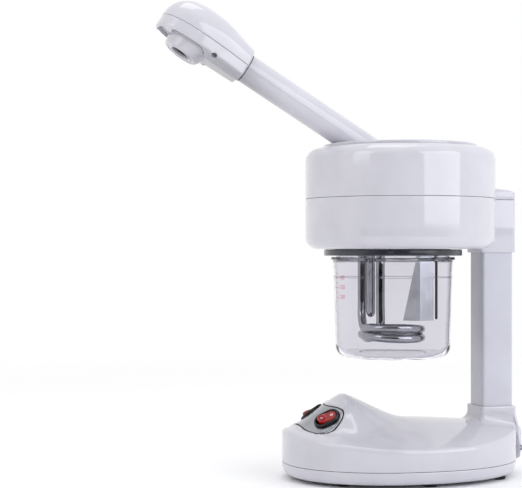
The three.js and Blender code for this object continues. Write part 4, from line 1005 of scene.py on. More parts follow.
def drum_upper():
    """The drum's upper shell, open under the turntable, and the cap that closes the neck sleeve."""
    r, top, wall, bore = DRUM["radius"], DRUM["top"], DRUM["wall"], DRUM["bore"]
    low = DRUM["seam"] + DRUM["half_seam"]
    roll = top - DRUM["shoulder"]
    outline = rounded([
        (r - wall, low), (r, low, 0.5), (r, top, roll), (bore, top, 0.6), (bore, top - wall),
        (r - wall, top - wall, roll - wall),
    ], 16)
    dome = shaped("drum_upper_shell", turned(outline, 192), BODY)
    levels = [(up, inset, 0) for up, inset in SLEEVE_LIP] + NECK_CAP
    rings = [sleeve_ring(DRUM["seam"] + up, inset, pull) for up, inset, pull in levels]
    return dome, shaped("neck_cap", capped(rings), BODY)


for half, node in ((drum_lower, "housing_lower_shell"), (drum_upper, "housing_upper_shell")):
    shell, neck = half()
    belongs(shell, "base", "shell_white", node)
    belongs(neck, "base", "shell_white")


def drum_gap_shadow():
    """A dark band painted as the shadow in the gap between the drum's two shells and round the neck."""
    r, low, high = DRUM["radius"], DRUM["seam"] - 0.2, DRUM["seam"] + 0.2
    skin = turned([(r - 0.5, low), (r - 0.5, high), (r - 2, high), (r - 2, low)], 192)
    section = ((low, 0.5), (high, 0.5), (high, 2), (low, 2))
    skin.loft([sleeve_ring(z, inset) for z, inset in section], loop=True)
    return shaped("drum_seam_shadow", skin, BODY)


belongs(drum_gap_shadow(), "base", "black_matte", material=PAINTED_GAP_SHADOW)


BAYONET = dict(lugs=3, start=30.0, fall=3 / 50)


def add_bayonet(skin, radii, heights, start, sweep, steps):
    """Adds the sloping lugs. The heights are those at angle nought, and the lugs fall as the angle grows."""
    (inner, outer), (low, high) = radii, heights
    for i in range(BAYONET["lugs"]):
        rings = []
        for step in range(steps + 1):
            degrees = start + sweep * step / steps
            a, fall = degrees * DEGREE, degrees * BAYONET["fall"]
            section = ((inner, low), (outer, low), (outer, high), (inner, high))
            rings.append([(r * math.cos(a), r * math.sin(a), z - fall) for r, z in section])
        turn = BAYONET["start"] + 360 / BAYONET["lugs"] * i
        skin.add(capped(rings), Matrix.Rotation(turn * DEGREE, 4, "Z"))


def jar_collar():
    low, high = span("jar_collar")
    r, bore = (high.y - low.y) / 2, 57.4
    skin = turned(rounded([(bore, low.z), (r, low.z, 0.6), (r, high.z, 0.6), (bore, high.z)], 5), 160)
    add_bayonet(skin, (55, 58.4), (212.4, 213.6), -4, 28, 12)
    for angle in (-112, 68):
        clip = rounded_block(r - 2.2, r + 0.7, -3.2, 3.2, high.z - 3.4, high.z + 0.25, 0.8, 0.4)
        skin.add(clip, Matrix.Rotation(angle * DEGREE, 4, "Z"))
    return shaped("jar_locking_collar", skin, JAR_PLACE)


belongs(jar_collar(), "base", "black_gloss", "jar_collar", material=COLLAR_BLACK)

# ---------------------------------------------------------------- turntable

ARM_SLOT = dict(x=-31.0, half_length=36.5, half_width=14.7)
CHEEK = dict(half_length=11.0, near=21.0, far=25.0, low=286.6, high=313.8)


def slot_ring(grow, z):
    half_x, half_y = ARM_SLOT["half_length"] + grow, ARM_SLOT["half_width"] + grow
    return box_ring(half_x, half_y, half_y - 0.1, z, ARM_SLOT["x"], 0, 16)


def turntable():
    low, high = span("turntable")
    r, top = (high.y - low.y) / 2, high.z
    under = top - 3.3
    outline = rounded([
        (0, under), (63, under), (63, 306), (66, 306, 0.4), (66, under), (r, under, 0.7), (r, top, 1.3),
        (r - 5.2, top, 0.9), (r - 6.4, top - 1.1, 0.8), (0, top - 1.1),
    ], 5)
    disc = shaped("turntable_lid", turned(outline, 176), BODY)
    carve(disc, shaped("cutter", capped([slot_ring(0, under - 4), slot_ring(0, top + 3)]), BODY))
    return soften(disc, 0.45, 3, 50)


def slot_trim():
    """A raised rim round the arm's slot, and the two bearing cheeks under it."""
    top = span("turntable")[1].z - 1.1
    rim = ((1.9, -0.6), (1.9, 0.35), (1.6, 0.6), (0.5, 0.6), (0.15, 0.3), (0.15, -2.6), (1.0, -2.6))
    skin = Skin().loft([slot_ring(grow, top + up) for grow, up in rim], loop=True)
    c = CHEEK
    for y0, y1 in ((-c["far"], -c["near"]), (c["near"], c["far"])):
        skin.add(rounded_block(-c["half_length"], c["half_length"], y0, y1, c["low"], c["high"], 1.6, 0.5))
    return shaped("turntable_slot_trim", skin, BODY)


belongs(turntable(), "turntable", "shell_white", "turntable")
belongs(slot_trim(), "turntable", "shell_white")

# ---------------------------------------------------------------- arm

TUBE = dict(radius=13.65, wall=1.8, start=10.5, into_head=24.0)
BALL = dict(radius=20.0, cut=46.5, steps=33, bore=13.9, floor=6.0)


def arm_tube():
    r, wall, start = TUBE["radius"], TUBE["wall"], TUBE["start"]
    end = HEAD_START + TUBE["into_head"]
    corners = [(start, r - wall), (start, r, 0.5)]
    corners += [(lerp(start, end, i / 8), r) for i in range(1, 8)]
    corners += [(end, r, 0.5), (end, r - wall)]
    return shaped("steam_arm", turned_along(rounded(corners, 4), 128), ARM)


def arm_ball():
    """The hollow ball that the arm swivels on, cut off where the tube comes out of it."""
    r, bore, floor_x = BALL["radius"], BALL["bore"], BALL["floor"]
    turns = [lerp(180 - 0.1, BALL["cut"], step / BALL["steps"]) * DEGREE for step in range(BALL["steps"] + 1)]
    ball = [(r * math.cos(a), r * math.sin(a)) for a in turns]
    lip = (ball[-1][0] + 0.6, ball[-1][1] - 0.6)
    outline = ball + [lip, (lip[0], bore), (floor_x, bore), (floor_x, 0.02)]
    return shaped("arm_swivel_ball", turned_along(outline, 96, loop=False), ARM)


belongs(arm_tube(), "arm", "shell_white", "arm_tube")
belongs(arm_ball(), "arm", "duct_plastic", "arm_ball")

# ---------------------------------------------------------------- head

HEAD_FORM = dict(length=89.2, part=-1.5, wall=2.2, rear_top=16.2, top=26.6, top_at=54)
HEAD_FORM.update(edge=12.0, keel=16.3, keel_from=62, rear_half=19.7, half=27.5, widest_at=52, swell_from=-20)
HEAD_FORM.update(nose=2.3, roundness=2.35)


def nose_share(x, start):
    along = max(0.0, x - start) / (HEAD_FORM["length"] - start)
    return max(0.0, 1 - along ** HEAD_FORM["nose"]) ** (1 / HEAD_FORM["nose"])


def head_half(x):
    """Half the head's width."""
    f = HEAD_FORM
    half = lerp(f["rear_half"], f["half"], ease(x, f["swell_from"], f["widest_at"]))
    return half * nose_share(x, f["widest_at"])


def head_rise(x):
    """Height of the head's top above the parting line."""
    f = HEAD_FORM
    top = lerp(f["rear_top"], f["top"], ease(x, f["swell_from"], f["top_at"]))
    return (top - f["part"]) * nose_share(x, f["top_at"])


def evenly(points, count):
    """The same line with evenly spaced points."""
    lengths = [0.0]
    for p, q in zip(points, points[1:]):
        lengths.append(lengths[-1] + math.dist(p, q))
    result = []
    k = 0
    for i in range(count):
        target = lengths[-1] * i / (count - 1)
        while k < len(points) - 2 and lengths[k + 1] < target:
            k += 1
        gap = lengths[k + 1] - lengths[k]
        t = (target - lengths[k]) / gap if gap > 1e-9 else 0.0
        result.append(tuple(lerp(a, b, t) for a, b in zip(points[k], points[k + 1])))
    return result


def head_profile(x, above, inset):
    """Half a cross-section as (across, down or up from the parting line), from one side to the other."""
    f = HEAD_FORM
    half = max(0.03, head_half(x) - inset)
    if above:
        rise = max(0.03, head_rise(x) - inset)
        power = 2 / f["roundness"]
        line = []
        for i in range(121):
            a = math.pi * i / 120
            across = math.copysign(half * abs(math.cos(a)) ** power, math.cos(a))
            line.append((across, rise * math.sin(a) ** power))
        return evenly(line, 73)
    edge = f["edge"] + f["part"] - inset
    keel = (f["keel"] - f["edge"]) * nose_share(x, f["keel_from"])
    roll = min(1.3, edge * 0.45, half * 0.45)

    def corner(share):
        a = share * math.pi / 2
        return half - roll + roll * math.cos(a), -(edge - roll + roll * math.sin(a))

    near_corner = [corner(i / 6) for i in range(7)]
    far_corner = [(-y, z) for y, z in (corner(1 - i / 6) for i in range(7))]
    under = []
    for i in range(1, 60):
        y = (half - roll) * (1 - i / 30)
        under.append((y, -edge - keel * (1 - ease(abs(y), 0.35 * half, 0.95 * half))))
    return evenly([(half, 0.0)] + near_corner + under + far_corner + [(-half, 0.0)], 97)


def head_section(x, above, inset=0.0):
    """Half a cross-section in the head's frame, with a small rolled lip at the parting line."""
    sign = 1 if above else -1
    start = HEAD_FORM["part"] + sign * 0.14
    profile = head_profile(x, above, inset)
    half = profile[0][0]
    lip = min(0.4, half * 0.5) if inset == 0 else 0.0
    body = [(y, z) for y, z in profile[1:-1]]
    right = [(half - lip, 0.0), (half - lip * 0.3, sign * 0.12), (half, sign * 0.4)]
    left = [(-y, z) for y, z in reversed(right)]
    return [(x, y, start + z) for y, z in right + body + left]


def head_stations():
    """The places of the head's cross-sections, closer together towards the nose."""
    length, nose_start, steps = HEAD_FORM["length"], 53, 22
    straight = [0.0, 0.35, 1.0, 2.0, 6, 12, 18, 24, 30, 36, 42, 48, nose_start]
    turns = [i / steps * math.pi / 2 for i in range(1, steps + 1)]
    return straight + [lerp(nose_start, length - 0.05, math.sin(a)) for a in turns] + [length]


def head_shell(name, above):
    """One half of the head, open at its ends, with its rear edge rolled in."""
    part, wall = HEAD_FORM["part"], HEAD_FORM["wall"]
    rings = []
    for x in head_stations():
        roll = 0.9 * (1 - math.sqrt(max(0.0, 1 - max(0.0, 1 - x) ** 2)))
        drawn_y, drawn_z = 1 - roll / 22, 1 - roll / 18
        outer = [(px, py * drawn_y, part + (pz - part) * drawn_z) for px, py, pz in head_section(x, above)]
        inner = head_section(min(x, HEAD_FORM["length"] - wall), above, wall)
        rings.append(outer + inner[::-1])
    return shaped(name, Skin().loft(rings), HEAD)


NOZZLE = dict(x=56.7, mouth=9.1, face=17.0, root=21.5, root_x=52.5, face_z=-23.0, root_z=-9.5, slope=0.078)
NOZZLE_PLACE = HEAD @ Matrix.Translation((NOZZLE["x"], 0, 0))
POCKET = dict(reach=17.0, floor_reach=23.0, inset=2.3, floor_inset=1.4, floor=1.8, below=-30.0)
HEAD_SCREW = dict(x=31.7, y=24.2, z=-12.0, lean=42.0, recess=3.0)


def about_nozzle(skin):
    """Leans a turned outlet's skirt back as it rises, and slopes its face so that the rear hangs lower."""
    n = NOZZLE
    for i, (x, y, z) in enumerate(skin.points):
        rise = max(0.0, min(1.0, (z - n["face_z"]) / (n["root_z"] - n["face_z"])))
        lean = (n["root_x"] - n["x"]) * rise * ease(math.hypot(x, y), n["face"] - 4, n["face"] - 1)
        skin.points[i] = (x + lean, y, z + n["slope"] * x * (1 - rise))
    return skin


def pocket_plan(inset, reach):
    """The outline of the recess round the nozzle, inside the head's own plan by an inset."""
    start = NOZZLE["root_x"]
    side = []
    wide = head_half(start) - inset
    for i in range(16, 0, -1):
        a = i / 16 * math.pi / 2
        side.append((start - reach * math.sin(a), wide * math.cos(a)))
    length = HEAD_FORM["length"]
    for i in range(41):
        share = math.sin(i / 40 * math.pi / 2)
        across = head_half(lerp(start, length, share)) * wide / head_half(start)
        side.append((lerp(start, length - inset, share), across))
    return side + [(x, -y) for x, y in side[-2:0:-1]]


def nozzle_pocket():
    """The recess in the head's underside that the nozzle stands in."""
    floor = NOZZLE["root_z"]
    ring = pocket_plan(POCKET["inset"], POCKET["reach"])
    inner = [(lerp(NOZZLE["root_x"], x, 0.96), y * 0.96) for x, y in ring]
    levels = ((inner, floor), (ring, floor - 0.9), (ring, POCKET["below"]))
    return capped([[(x, y, z) for x, y in outline] for outline, z in levels])


def pocket_floor():
    """The recess's own floor, closing the shell round the nozzle."""
    plan = pocket_plan(POCKET["floor_inset"], POCKET["floor_reach"])
    low = NOZZLE["root_z"]
    rings = [[(x, y, z) for x, y in plan] for z in (low, low + POCKET["floor"])]
    return shaped("nozzle_recess_floor", capped(rings), HEAD)


def screw_place(side):
    """A head screw's own frame: z runs up into the head from the mouth of its recess."""
    lean = Matrix.Rotation(side * HEAD_SCREW["lean"] * DEGREE, 4, "X")
    return HEAD @ Matrix.Translation((HEAD_SCREW["x"], side * HEAD_SCREW["y"], HEAD_SCREW["z"])) @ lean


def head_lower():
    obj = close_ends(head_shell("head_bottom_shell", False))
    n = NOZZLE
    skirt = turned([
        (0, n["face_z"] - 8), (n["face"] + 0.15, n["face_z"] - 8), (n["face"] + 0.15, n["face_z"] + 0.6),
        (n["root"] + 0.15, n["root_z"] - 4.2), (n["root"] + 0.15, n["root_z"] + 0.3), (0, n["root_z"] + 0.3),
    ], 96, loop=False)
    cutters = [shaped("cutter", nozzle_pocket(), HEAD)]
    cutters.append(shaped("cutter", about_nozzle(skirt), NOZZLE_PLACE))
    r = HEAD_SCREW["recess"]
    for side in (-1, 1):
        hole = turned([(0, -12), (r, -12), (r, 6), (0, 6)], 48, loop=False)
        cutters.append(shaped("cutter", hole, screw_place(side)))
    return carve(obj, *cutters)


def screw_recess(side):
    """The moulded cup that a head screw sits in, with a small rolled rim."""
    r = HEAD_SCREW["recess"]
    outline = rounded([
        (r - 0.1, -1.2, 0.2), (r + 0.5, -1.0, 0.3), (r + 1.2, 1.2, 0.3), (r + 1.2, 6), (1.7, 6), (1.7, 5),
        (r - 0.1, 5, 0.4),
    ], 4)
    return shaped(f"head_screw_recess_{side + 1}", turned(outline, 56), screw_place(side))


def close_ends(obj):
    """Fills the open rings at a shell's rear edge and nose."""
    edit = bmesh.new()
    edit.from_mesh(obj.data)
    open_edges = [e for e in edit.edges if len(e.link_faces) == 1]
    bmesh.ops.holes_fill(edit, edges=open_edges, sides=0)
    bmesh.ops.triangulate(edit, faces=[f for f in edit.faces if len(f.verts) > 4])
    bmesh.ops.recalc_face_normals(edit, faces=edit.faces)
    edit.to_mesh(obj.data)
    edit.free()
    mark_edges(obj)
    return obj


belongs(close_ends(head_shell("head_top_shell", True)), "head", "shell_white", "head_upper_shell")
belongs(head_lower(), "head", "shell_white", "head_lower_shell")
belongs(pocket_floor(), "head", "shell_white")
for side in (-1, 1):
    belongs(screw_recess(side), "head", "shell_white")


def nozzle_cup():
    """The outlet ring under the head."""
    mouth, rim, root, low, high = (NOZZLE[k] for k in ("mouth", "face", "root", "face_z", "root_z"))
    outline = rounded([
        (mouth + 0.2, low + 10), (mouth + 0.2, low, 0.9), (mouth + 2.2, low - 0.1, 0.7),
        (mouth + 2.7, low + 0.8, 0.4), (rim - 3.2, low + 0.8, 0.4), (rim - 2.2, low, 0.6), (rim, low, 1.6),
        (root, high - 4.2, 5), (root, high - 0.05, 0.2), (root - 2, high), (rim - 3, low + 3),
        (mouth + 2, low + 3), (mouth + 2, low + 10),
    ], 5)
    return shaped("nozzle_ring", about_nozzle(turned(outline, 128)), NOZZLE_PLACE)


belongs(nozzle_cup(), "head", "shell_white", "nozzle_cup")


def nozzle_bore_shade():
    """A dark lining inside the nozzle ring, painted shade for the depth of its bore."""
    mouth, low = NOZZLE["mouth"], NOZZLE["face_z"]
    outline = rounded([
        (mouth - 0.2, low + 2.2, 0.5), (mouth - 2.4, low + 3.0, 0.5), (mouth - 2.4, low + 12),
        (0.01, low + 12), (0.01, low + 13), (mouth - 0.2, low + 13),
    ], 3)
    return shaped("nozzle_painted_bore_shade", about_nozzle(turned(outline, 96)), NOZZLE_PLACE)


belongs(nozzle_bore_shade(), "head", "black_matte", material=PAINTED_GAP_SHADOW)


def head_rear_shadow():
    """A dark recessed ring between the head's rear edge and the arm, painted as the shadow in the gap there.
    """
    inner = TUBE["radius"] + 0.9
    floor_z = -13.2
    turns = [2 * math.pi * i / 96 for i in range(96)]
    rings = []
    for x, outside in ((3.2, False), (3.2, True), (6.2, True), (6.2, False)):
        across, up = (head_half(x) - 2.4, head_rise(x) - 3.2) if outside else (inner, inner)
        low = floor_z if outside else -inner
        rings.append([(x, across * math.cos(a), max(low, up * math.sin(a))) for a in turns])
    return shaped("head_rear_shadow", Skin().loft(rings, loop=True), HEAD)


belongs(head_rear_shadow(), "head", "black_matte", material=PAINTED_GAP_SHADOW)


def swivel_gap():
    """The dark joint line round the arm just behind the head, painted as the shadow in the swivel's gap."""
    r = TUBE["radius"]
    outline = rounded([(-2.6, r - 0.2), (-2.6, r + 0.12, 0.1), (-1.8, r + 0.12, 0.1), (-1.8, r - 0.2)], 2)
    return shaped("head_swivel_gap", turned_along(outline, 96), HEAD)


belongs(swivel_gap(), "head", "black_matte", material=PAINTED_GAP_SHADOW)

for node, side in (("head_screw_near", 1), ("head_screw_far", -1)):
    mouth = screw_place(side)
    inwards = mouth.to_3x3() @ Vector((0, 0, 1))
    place = own_frame(mouth @ Vector((0, 0, 4.6)), OUTWARDS, -inwards)
    belongs(cross_head_screw(f"{node}_pan", place, 2.5, 1.6, 1.3, 5), "head", "screw_steel", node)

# ---------------------------------------------------------------- jar

JAR = dict(mouth=54.2, flange=59.4, flange_top=209.8, flange_low=205.2, neck=216.0, top=57.1)
JAR.update(foot=54.4, bottom=113.8, wall=1.5, corner=13.0)
LEVELS = dict(low=171.0, pitch=4.6, count=6, angle=178.0, long=8.0, short=4.5, thick=0.55)
LEVELS.update(number_angle=188.0, size=6.0)


def jar():
    """The glass jar: a foot ring, a rounded corner, slightly flared walls, a flange and a bayonet neck."""
    foot, top, mouth, flange, thin = (JAR[k] for k in ("foot", "top", "mouth", "flange", "wall"))
    low, under, over, neck = (JAR[k] for k in ("bottom", "flange_low", "flange_top", "neck"))
    outline = rounded([
        (0, low + 1.0), (30.5, low + 1.0, 1.2), (32.0, low, 0.8), (34.6, low, 0.8),
        (foot, low + 0.4, JAR["corner"]), (top, under - 1.2, 1.0), (top + 0.3, under + 1.4, 0.4),
        (flange, under + 1.6, 1.2), (flange, over, 1.2), (mouth, over, 0.6), (mouth, neck, 0.9),
        (mouth - thin, neck, 0.9), (mouth - thin, over - 1.2, 1.0), (top - thin, under + 0.6, 1.0),
        (foot - thin, low + 1.9, JAR["corner"] - thin), (0, low + 2.5),
    ], 14)
    skin = turned(outline, 320)
    add_bayonet(skin, (53.4, 56.5), (214.0, 215.6), 0, 16, 8)
    return shaped("steam_jar", skin, JAR_PLACE)


belongs(jar(), "jar", "jar_glass", "glass_jar")


def jar_radius(z):
    return lerp(JAR["foot"], JAR["top"], (z - JAR["bottom"]) / (JAR["flange_low"] - JAR["bottom"]))


def jar_scale():
    """Printed level lines and generic volume numbers on the jar."""
    skin = Skin()
    s = LEVELS
    printed, sunk = 0.07, 0.02

    def on_glass(angle, z, out=printed):
        r = jar_radius(z) + out
        return (r * math.cos(angle), r * math.sin(angle), z)

    for step in range(s["count"]):
        low = s["low"] + step * s["pitch"]
        high = low + s["thick"]
        section = ((low, printed), (high, printed), (high, sunk), (low, sunk))
        sweep = s["short"] if step % 2 else s["long"]
        turns = [(s["angle"] + sweep * i / 12) * DEGREE for i in range(13)]
        rows = [[on_glass(a, z, out) for z, out in section] for a in turns]
        skin.loft(rows, caps=True)
    for i, label in enumerate(("200", "300", "400")):
        z = s["low"] - 1 + 2 * i * s["pitch"]
        curve = bpy.data.curves.new("number", "FONT")
        curve.body = label
        curve.size = s["size"]
        curve.resolution_u = 3
        holder = placed("number", curve)
        bpy.context.view_layer.update()
        mesh = bpy.data.meshes.new_from_object(holder.evaluated_get(bpy.context.evaluated_depsgraph_get()))
        first = len(skin.points)
        for v in mesh.vertices:
            skin.points.append(on_glass(s["number_angle"] * DEGREE + v.co.x / jar_radius(z), z + v.co.y))
        skin.faces.extend(tuple(first + i for i in p.vertices) for p in mesh.polygons)
        bpy.data.objects.remove(holder)
    return shaped("jar_level_scale", skin, JAR_PLACE)


belongs(jar_scale(), "jar", "jar_glass", material=MARK_RED)


def fill_line():
    """The moulded fill line round the jar."""
    z = 190.4
    r = jar_radius(z)
    section = ((-0.1, -0.45), (0.28, -0.25), (0.36, 0), (0.28, 0.25), (-0.1, 0.45))
    return shaped("jar_fill_line", turned([(r + out, z + up) for out, up in section], 144), JAR_PLACE)


belongs(fill_line(), "jar", "jar_glass")

# ---------------------------------------------------------------- heater, baffle and probe

COIL = dict(x=-8.5, radius=28.3, tube=4.2, upper=142.6, lower=132.5, top=236.0)
COIL.update(leg=160.0, inner_leg=217.0, inner_radius=19.3, sink_from=110, sink_over=360)


def coil_point(angle, z, radius=None):
    r = COIL["radius"] if radius is None else radius
    return Vector((COIL["x"] + r * math.cos(angle * DEGREE), r * math.sin(angle * DEGREE), z))


def heater_coil():
    """The heating tube: down one leg, two sinking turns, and up the inner leg."""
    c = COIL
    heights = [c["top"], 218, 200, 182, 164]
    points = [coil_point(c["leg"], z) for z in heights]
    points.append(coil_point(c["leg"] + 4, 152))
    for turn in range(24, 697, 24):
        sink = max(0.0, min(1.0, (turn - c["sink_from"]) / c["sink_over"]))
        points.append(coil_point(c["leg"] + turn, lerp(c["upper"], c["lower"], sink)))
    points.append(coil_point(c["inner_leg"] - 30, c["lower"], 25))
    points.append(coil_point(c["inner_leg"] - 8, c["lower"] + 3, c["inner_radius"] + 1.4))
    points.append(coil_point(c["inner_leg"], c["lower"] + 13, c["inner_radius"]))
    points += [coil_point(c["inner_leg"], z, c["inner_radius"]) for z in heights[::-1]]
    return shaped("heating_element", swept(smooth_path(points, 8), c["tube"], 28), BODY)


belongs(heater_coil(), "base", "heater_chrome", "heater_coil")


def sensor_well():
    """The closed steel tube between the heater's legs that holds the thermal cut-out."""
    low, high = span("sensor_well")
    r = (high.y - low.y) / 2
    outline = rounded([
        (0, low.z), (r * 0.55, low.z + 0.6, 1.5), (r, low.z + 4.5, 2.5), (r, 212, 0.3), (r + 0.9, 212.4, 0.3),
        (r + 0.9, 214.4, 0.3), (r, 214.8, 0.3), (r, high.z, 0.4), (0, high.z),
    ], 4)
    place = BODY @ Matrix.Translation((middle("sensor_well").x, middle("sensor_well").y, 0))
    return shaped("cutout_well", turned(outline, 64), place)


belongs(sensor_well(), "base", "heater_chrome", "sensor_well")


def leg_ferrules():
    """Crimped ferrules where the heater's legs come through the plate."""
    skin = Skin()
    plate, bore = 219.8, COIL["tube"] - 0.3
    outline = rounded([
        (bore, plate - 0.1), (6.6, plate - 0.1, 0.3), (6.6, plate - 2.4, 0.4), (5.4, plate - 3.2, 0.4),
        (5.4, plate - 8, 0.5), (bore, plate - 8.4),
    ], 3)
    for leg in (coil_point(COIL["leg"], 0), coil_point(COIL["inner_leg"], 0, COIL["inner_radius"])):
        skin.add(turned(outline, 48), Matrix.Translation(leg))
    return shaped("heater_ferrules", skin, BODY)


belongs(leg_ferrules(), "base", "plate_steel")


BAFFLE = dict(x=12.0, y=-22.0, thick=0.9, flat_angle=12, flat=15.8)
BAFFLE.update(wing_angle=135, wing_foot=17.0, wing_top=0.8)


def splash_baffle():
    """A steel sheet with a folded wing that widens downwards."""
    b = BAFFLE
    low, high = span("splash_baffle")
    skin = Skin()
    fold = Vector((b["x"], b["y"]))

    def sheet(turn, reach, top_reach):
        run = Vector((math.cos(turn * DEGREE), math.sin(turn * DEGREE)))
        across = Vector((-run.y, run.x)) * b["thick"]
        rings = []
        for level in range(13):
            share = level / 12
            length = lerp(reach, top_reach, share)
            near = [fold + run * (length * t / 6) for t in range(7)]
            far = [p + across for p in near]
            z = lerp(low.z, high.z, share)
            rings.append([(p.x, p.y, z) for p in near + far[::-1]])
        skin.loft(rings, caps=True)

    sheet(b["flat_angle"], b["flat"], b["flat"])
    sheet(b["wing_angle"], b["wing_foot"], b["wing_top"])
    return shaped("steam_baffle", skin, BODY)


belongs(soften(splash_baffle(), 0.3), "base", "plate_steel", "splash_baffle")


def level_probe():
    low, high = span("level_probe")
    outline = rounded([
        (0, low.z), (1.3, low.z + 0.8, 0.4), (1.3, 208), (2.4, 209, 0.4), (2.4, 219.5), (1.3, 219.6),
        (1.3, 221.6), (4, 221.6, 0.3), (4, high.z, 0.6), (0, high.z),
    ], 3)
    place = BODY @ Matrix.Translation((middle("level_probe").x, middle("level_probe").y, 0))
    return shaped("water_level_probe", turned(outline, 40), place)


belongs(level_probe(), "base", "black_matte", "level_probe")

# ---------------------------------------------------------------- CAD nodes that keep their shape

KEPT = {
    "power_inlet": ("duct_plastic", 0.4),
    "inlet_pin_earth": ("pin_brass", 0.3),
    "inlet_pin_live": ("pin_brass", 0.3),
    "inlet_pin_neutral": ("pin_brass", 0.3),
    "control_board": ("board_green", 0.1),
    "ozone_transformer": ("coil_copper", 0.8),
    "board_fuse": ("ceramic_white", 0.3),
    "column_bracket": ("plate_steel", 0.3),
    "column_wiring": ("wire_sleeve", 0.1),
    "heater_plate": ("plate_steel", 0.3),
    "steam_duct": ("duct_plastic", 0.2),
    "heater_terminal_1": ("ceramic_white", 0.3),
    "heater_terminal_2": ("ceramic_white", 0.3),
    "thermostat": ("screw_steel", 0.4),
    "ozone_lamp": ("lamp_glass", 0.4),
    "jar_gasket": ("seal_silicone", 0.3),
    "turntable_retainer": ("duct_plastic", 0.2),
    "pivot_pin_near": ("screw_steel", 0.4),
    "pivot_pin_far": ("screw_steel", 0.4),
    "steam_elbow": ("seal_silicone", 0.1),
    "head_swivel_ring": ("duct_plastic", 0.1),
}
for node, (slot, edge) in KEPT.items():
    obj = frame["nodes"][node]
    obj.data.materials.clear()
    obj.data.materials.append(FINISH[slot])
    soften(obj, edge, 2, 45)

# ---------------------------------------------------------------- floor, light and camera


def stage_mesh(name, draw, material, unseen_by=()):
    """A piece of the studio, drawn into a new mesh, that some kinds of ray pass through."""
    mesh = bpy.data.meshes.new(name)
    edit = bmesh.new()
    draw(edit)
    edit.to_mesh(mesh)
    edit.free()
    mesh.materials.append(material)
    obj = placed(name, mesh)
    for kind in unseen_by:
        setattr(obj, f"visible_{kind}", False)


def floor_paper():
    """Pale paper that brightens to a plain white with the distance."""
    f = Finish("floor_paper")
    cloud = f.noise(1.5, 3)
    f.link(f.mixed(cloud, (0.93, 0.93, 0.94), (0.9, 0.9, 0.915)), f.shader.inputs["Base Color"])
    f.link(f.ranged(f.noise(40, 3), 0.3, 0.7, 0.55, 0.65), f.shader.inputs["Roughness"])
    length = f.tree.nodes.new("ShaderNodeVectorMath")
    length.operation = "LENGTH"
    f.link(f.coordinates, length.inputs[0])
    glow = f.tree.nodes.new("ShaderNodeEmission")
    glow.inputs["Color"].default_value = (1.0, 1.0, 1.0, 1)
    blend = f.tree.nodes.new("ShaderNodeMixShader")
    f.link(f.ranged(length.outputs["Value"], 0.45, 1.5, 0.0, 1.0), blend.inputs["Fac"])
    f.link(f.shader.outputs["BSDF"], blend.inputs[1])
    f.link(glow.outputs["Emission"], blend.inputs[2])
    f.link(blend.outputs["Shader"], f.tree.nodes["Material Output"].inputs["Surface"])
    return f.material


def floor():
    def draw(edit):
        bmesh.ops.create_grid(edit, x_segments=8, y_segments=8, size=30)

    stage_mesh("floor", draw, floor_paper())


floor()


def softbox(name, place, aim, width, height, power, colour):
    light = bpy.data.lights.new(name, "AREA")
    light.shape = "RECTANGLE"
    light.size = width
    light.size_y = height
    light.energy = power
    light.color = colour
    obj = placed(name, light)
    obj.location = place
    obj.rotation_euler = (Vector(aim) - Vector(place)).to_track_quat("-Z", "Y").to_euler()


softbox(
    "key_window", place=(DRUM_AXIS.x + 0.70, -1.20, 0.70), aim=(0.06, 0, 0.26),
    width=1.25, height=1.0, power=10.5, colour=(0.93, 0.95, 1.0),
)
softbox(
    "left_strip", place=(-1.15, -0.55, 0.85), aim=(0.06, 0, 0.25),
    width=0.55, height=0.9, power=2.6, colour=(1.0, 1.0, 0.99),
)
softbox(
    "overhead", place=(-0.05, 0.05, 1.7), aim=(0.0, 0, 0.1),
    width=0.9, height=0.8, power=5.0, colour=(0.98, 0.98, 1.0),
)


def black_cloth(name):
    f = Finish(f"{name}_cloth")
    f.link(f.mixed(f.noise(60, 3), (0.012, 0.012, 0.014), (0.02, 0.02, 0.022)), f.shader.inputs["Base Color"])
    f.set(roughness=1.0, specular_ior_level=0.0)
    return f.material


VIEW_ANGLE = 90 - 14.64
DRAPE = dict(radius=1.7, half_span=52.0, low=-0.02, high=0.2, steps=16)


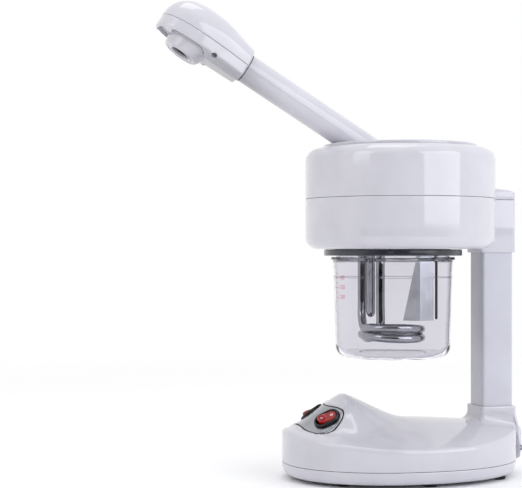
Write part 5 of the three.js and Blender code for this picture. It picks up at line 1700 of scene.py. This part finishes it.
def drape():
    """A low black drape in front of the object. It shows only in gloss, polished metal and glass."""
    d = DRAPE

    def draw(edit):
        previous = None
        for i in range(d["steps"] + 1):
            a = (VIEW_ANGLE + 180 + lerp(-d["half_span"], d["half_span"], i / d["steps"])) * DEGREE
            x, y = DRUM_AXIS.x + d["radius"] * math.cos(a), d["radius"] * math.sin(a)
            pair = [edit.verts.new((x, y, d["low"])), edit.verts.new((x, y, d["high"]))]
            if previous:
                edit.faces.new((previous[0], pair[0], pair[1], previous[1]))
            previous = pair

    stage_mesh("front_drape", draw, black_cloth("front_drape"), ("camera", "diffuse", "shadow"))


drape()


def head_flag():
    """A black card under the head that takes the light coming up from the floor away from its underside."""
    corners = [HEAD @ Vector(p) for p in ((-25, -70, -70), (40, -70, -70), (40, 70, -70), (-25, 70, -70))]

    def draw(edit):
        edit.faces.new([edit.verts.new(p) for p in corners])

    stage_mesh("head_flag", draw, black_cloth("head_flag"), ("camera", "glossy", "shadow", "transmission"))


head_flag()


def studio():
    """A pale studio, brighter above and behind the object than on the side that faces it."""
    made = bpy.data.worlds.new("studio")
    made.use_nodes = True
    tree = made.node_tree
    direction = tree.nodes.new("ShaderNodeTexCoord").outputs["Generated"]
    facing = tree.nodes.new("ShaderNodeVectorMath")
    facing.operation = "DOT_PRODUCT"
    facing.inputs[1].default_value = (-0.15, -0.985, -0.08)
    tree.links.new(direction, facing.inputs[0])
    shade = tree.nodes.new("ShaderNodeMapRange")
    shade.interpolation_type = "SMOOTHSTEP"
    for socket, value in zip(RANGE_SOCKETS, (0.35, 0.95, 1.0, 0.12)):
        shade.inputs[socket].default_value = value
    tree.links.new(facing.outputs["Value"], shade.inputs["Value"])
    background = tree.nodes["Background"]
    background.inputs["Color"].default_value = (1.0, 1.0, 1.0, 1)
    tree.links.new(shade.outputs["Result"], background.inputs["Strength"])
    return made


bpy.context.scene.world = studio()
bpy.context.scene.view_settings.view_transform = "Standard"

CAMERA = dict(x=-0.4579, y=-1.2240, z=0.2135, lens=93.1, shift=0.0172)
camera_data = bpy.data.cameras.new("camera")
camera_data.lens = CAMERA["lens"]
camera_data.sensor_width = 36
camera_data.shift_y = CAMERA["shift"]
camera = placed("camera", camera_data)
camera.location = (DRUM_AXIS.x + CAMERA["x"], CAMERA["y"], CAMERA["z"])
camera.rotation_euler = (90 * DEGREE, 0, (VIEW_ANGLE - 90) * DEGREE)
bpy.context.scene.camera = camera
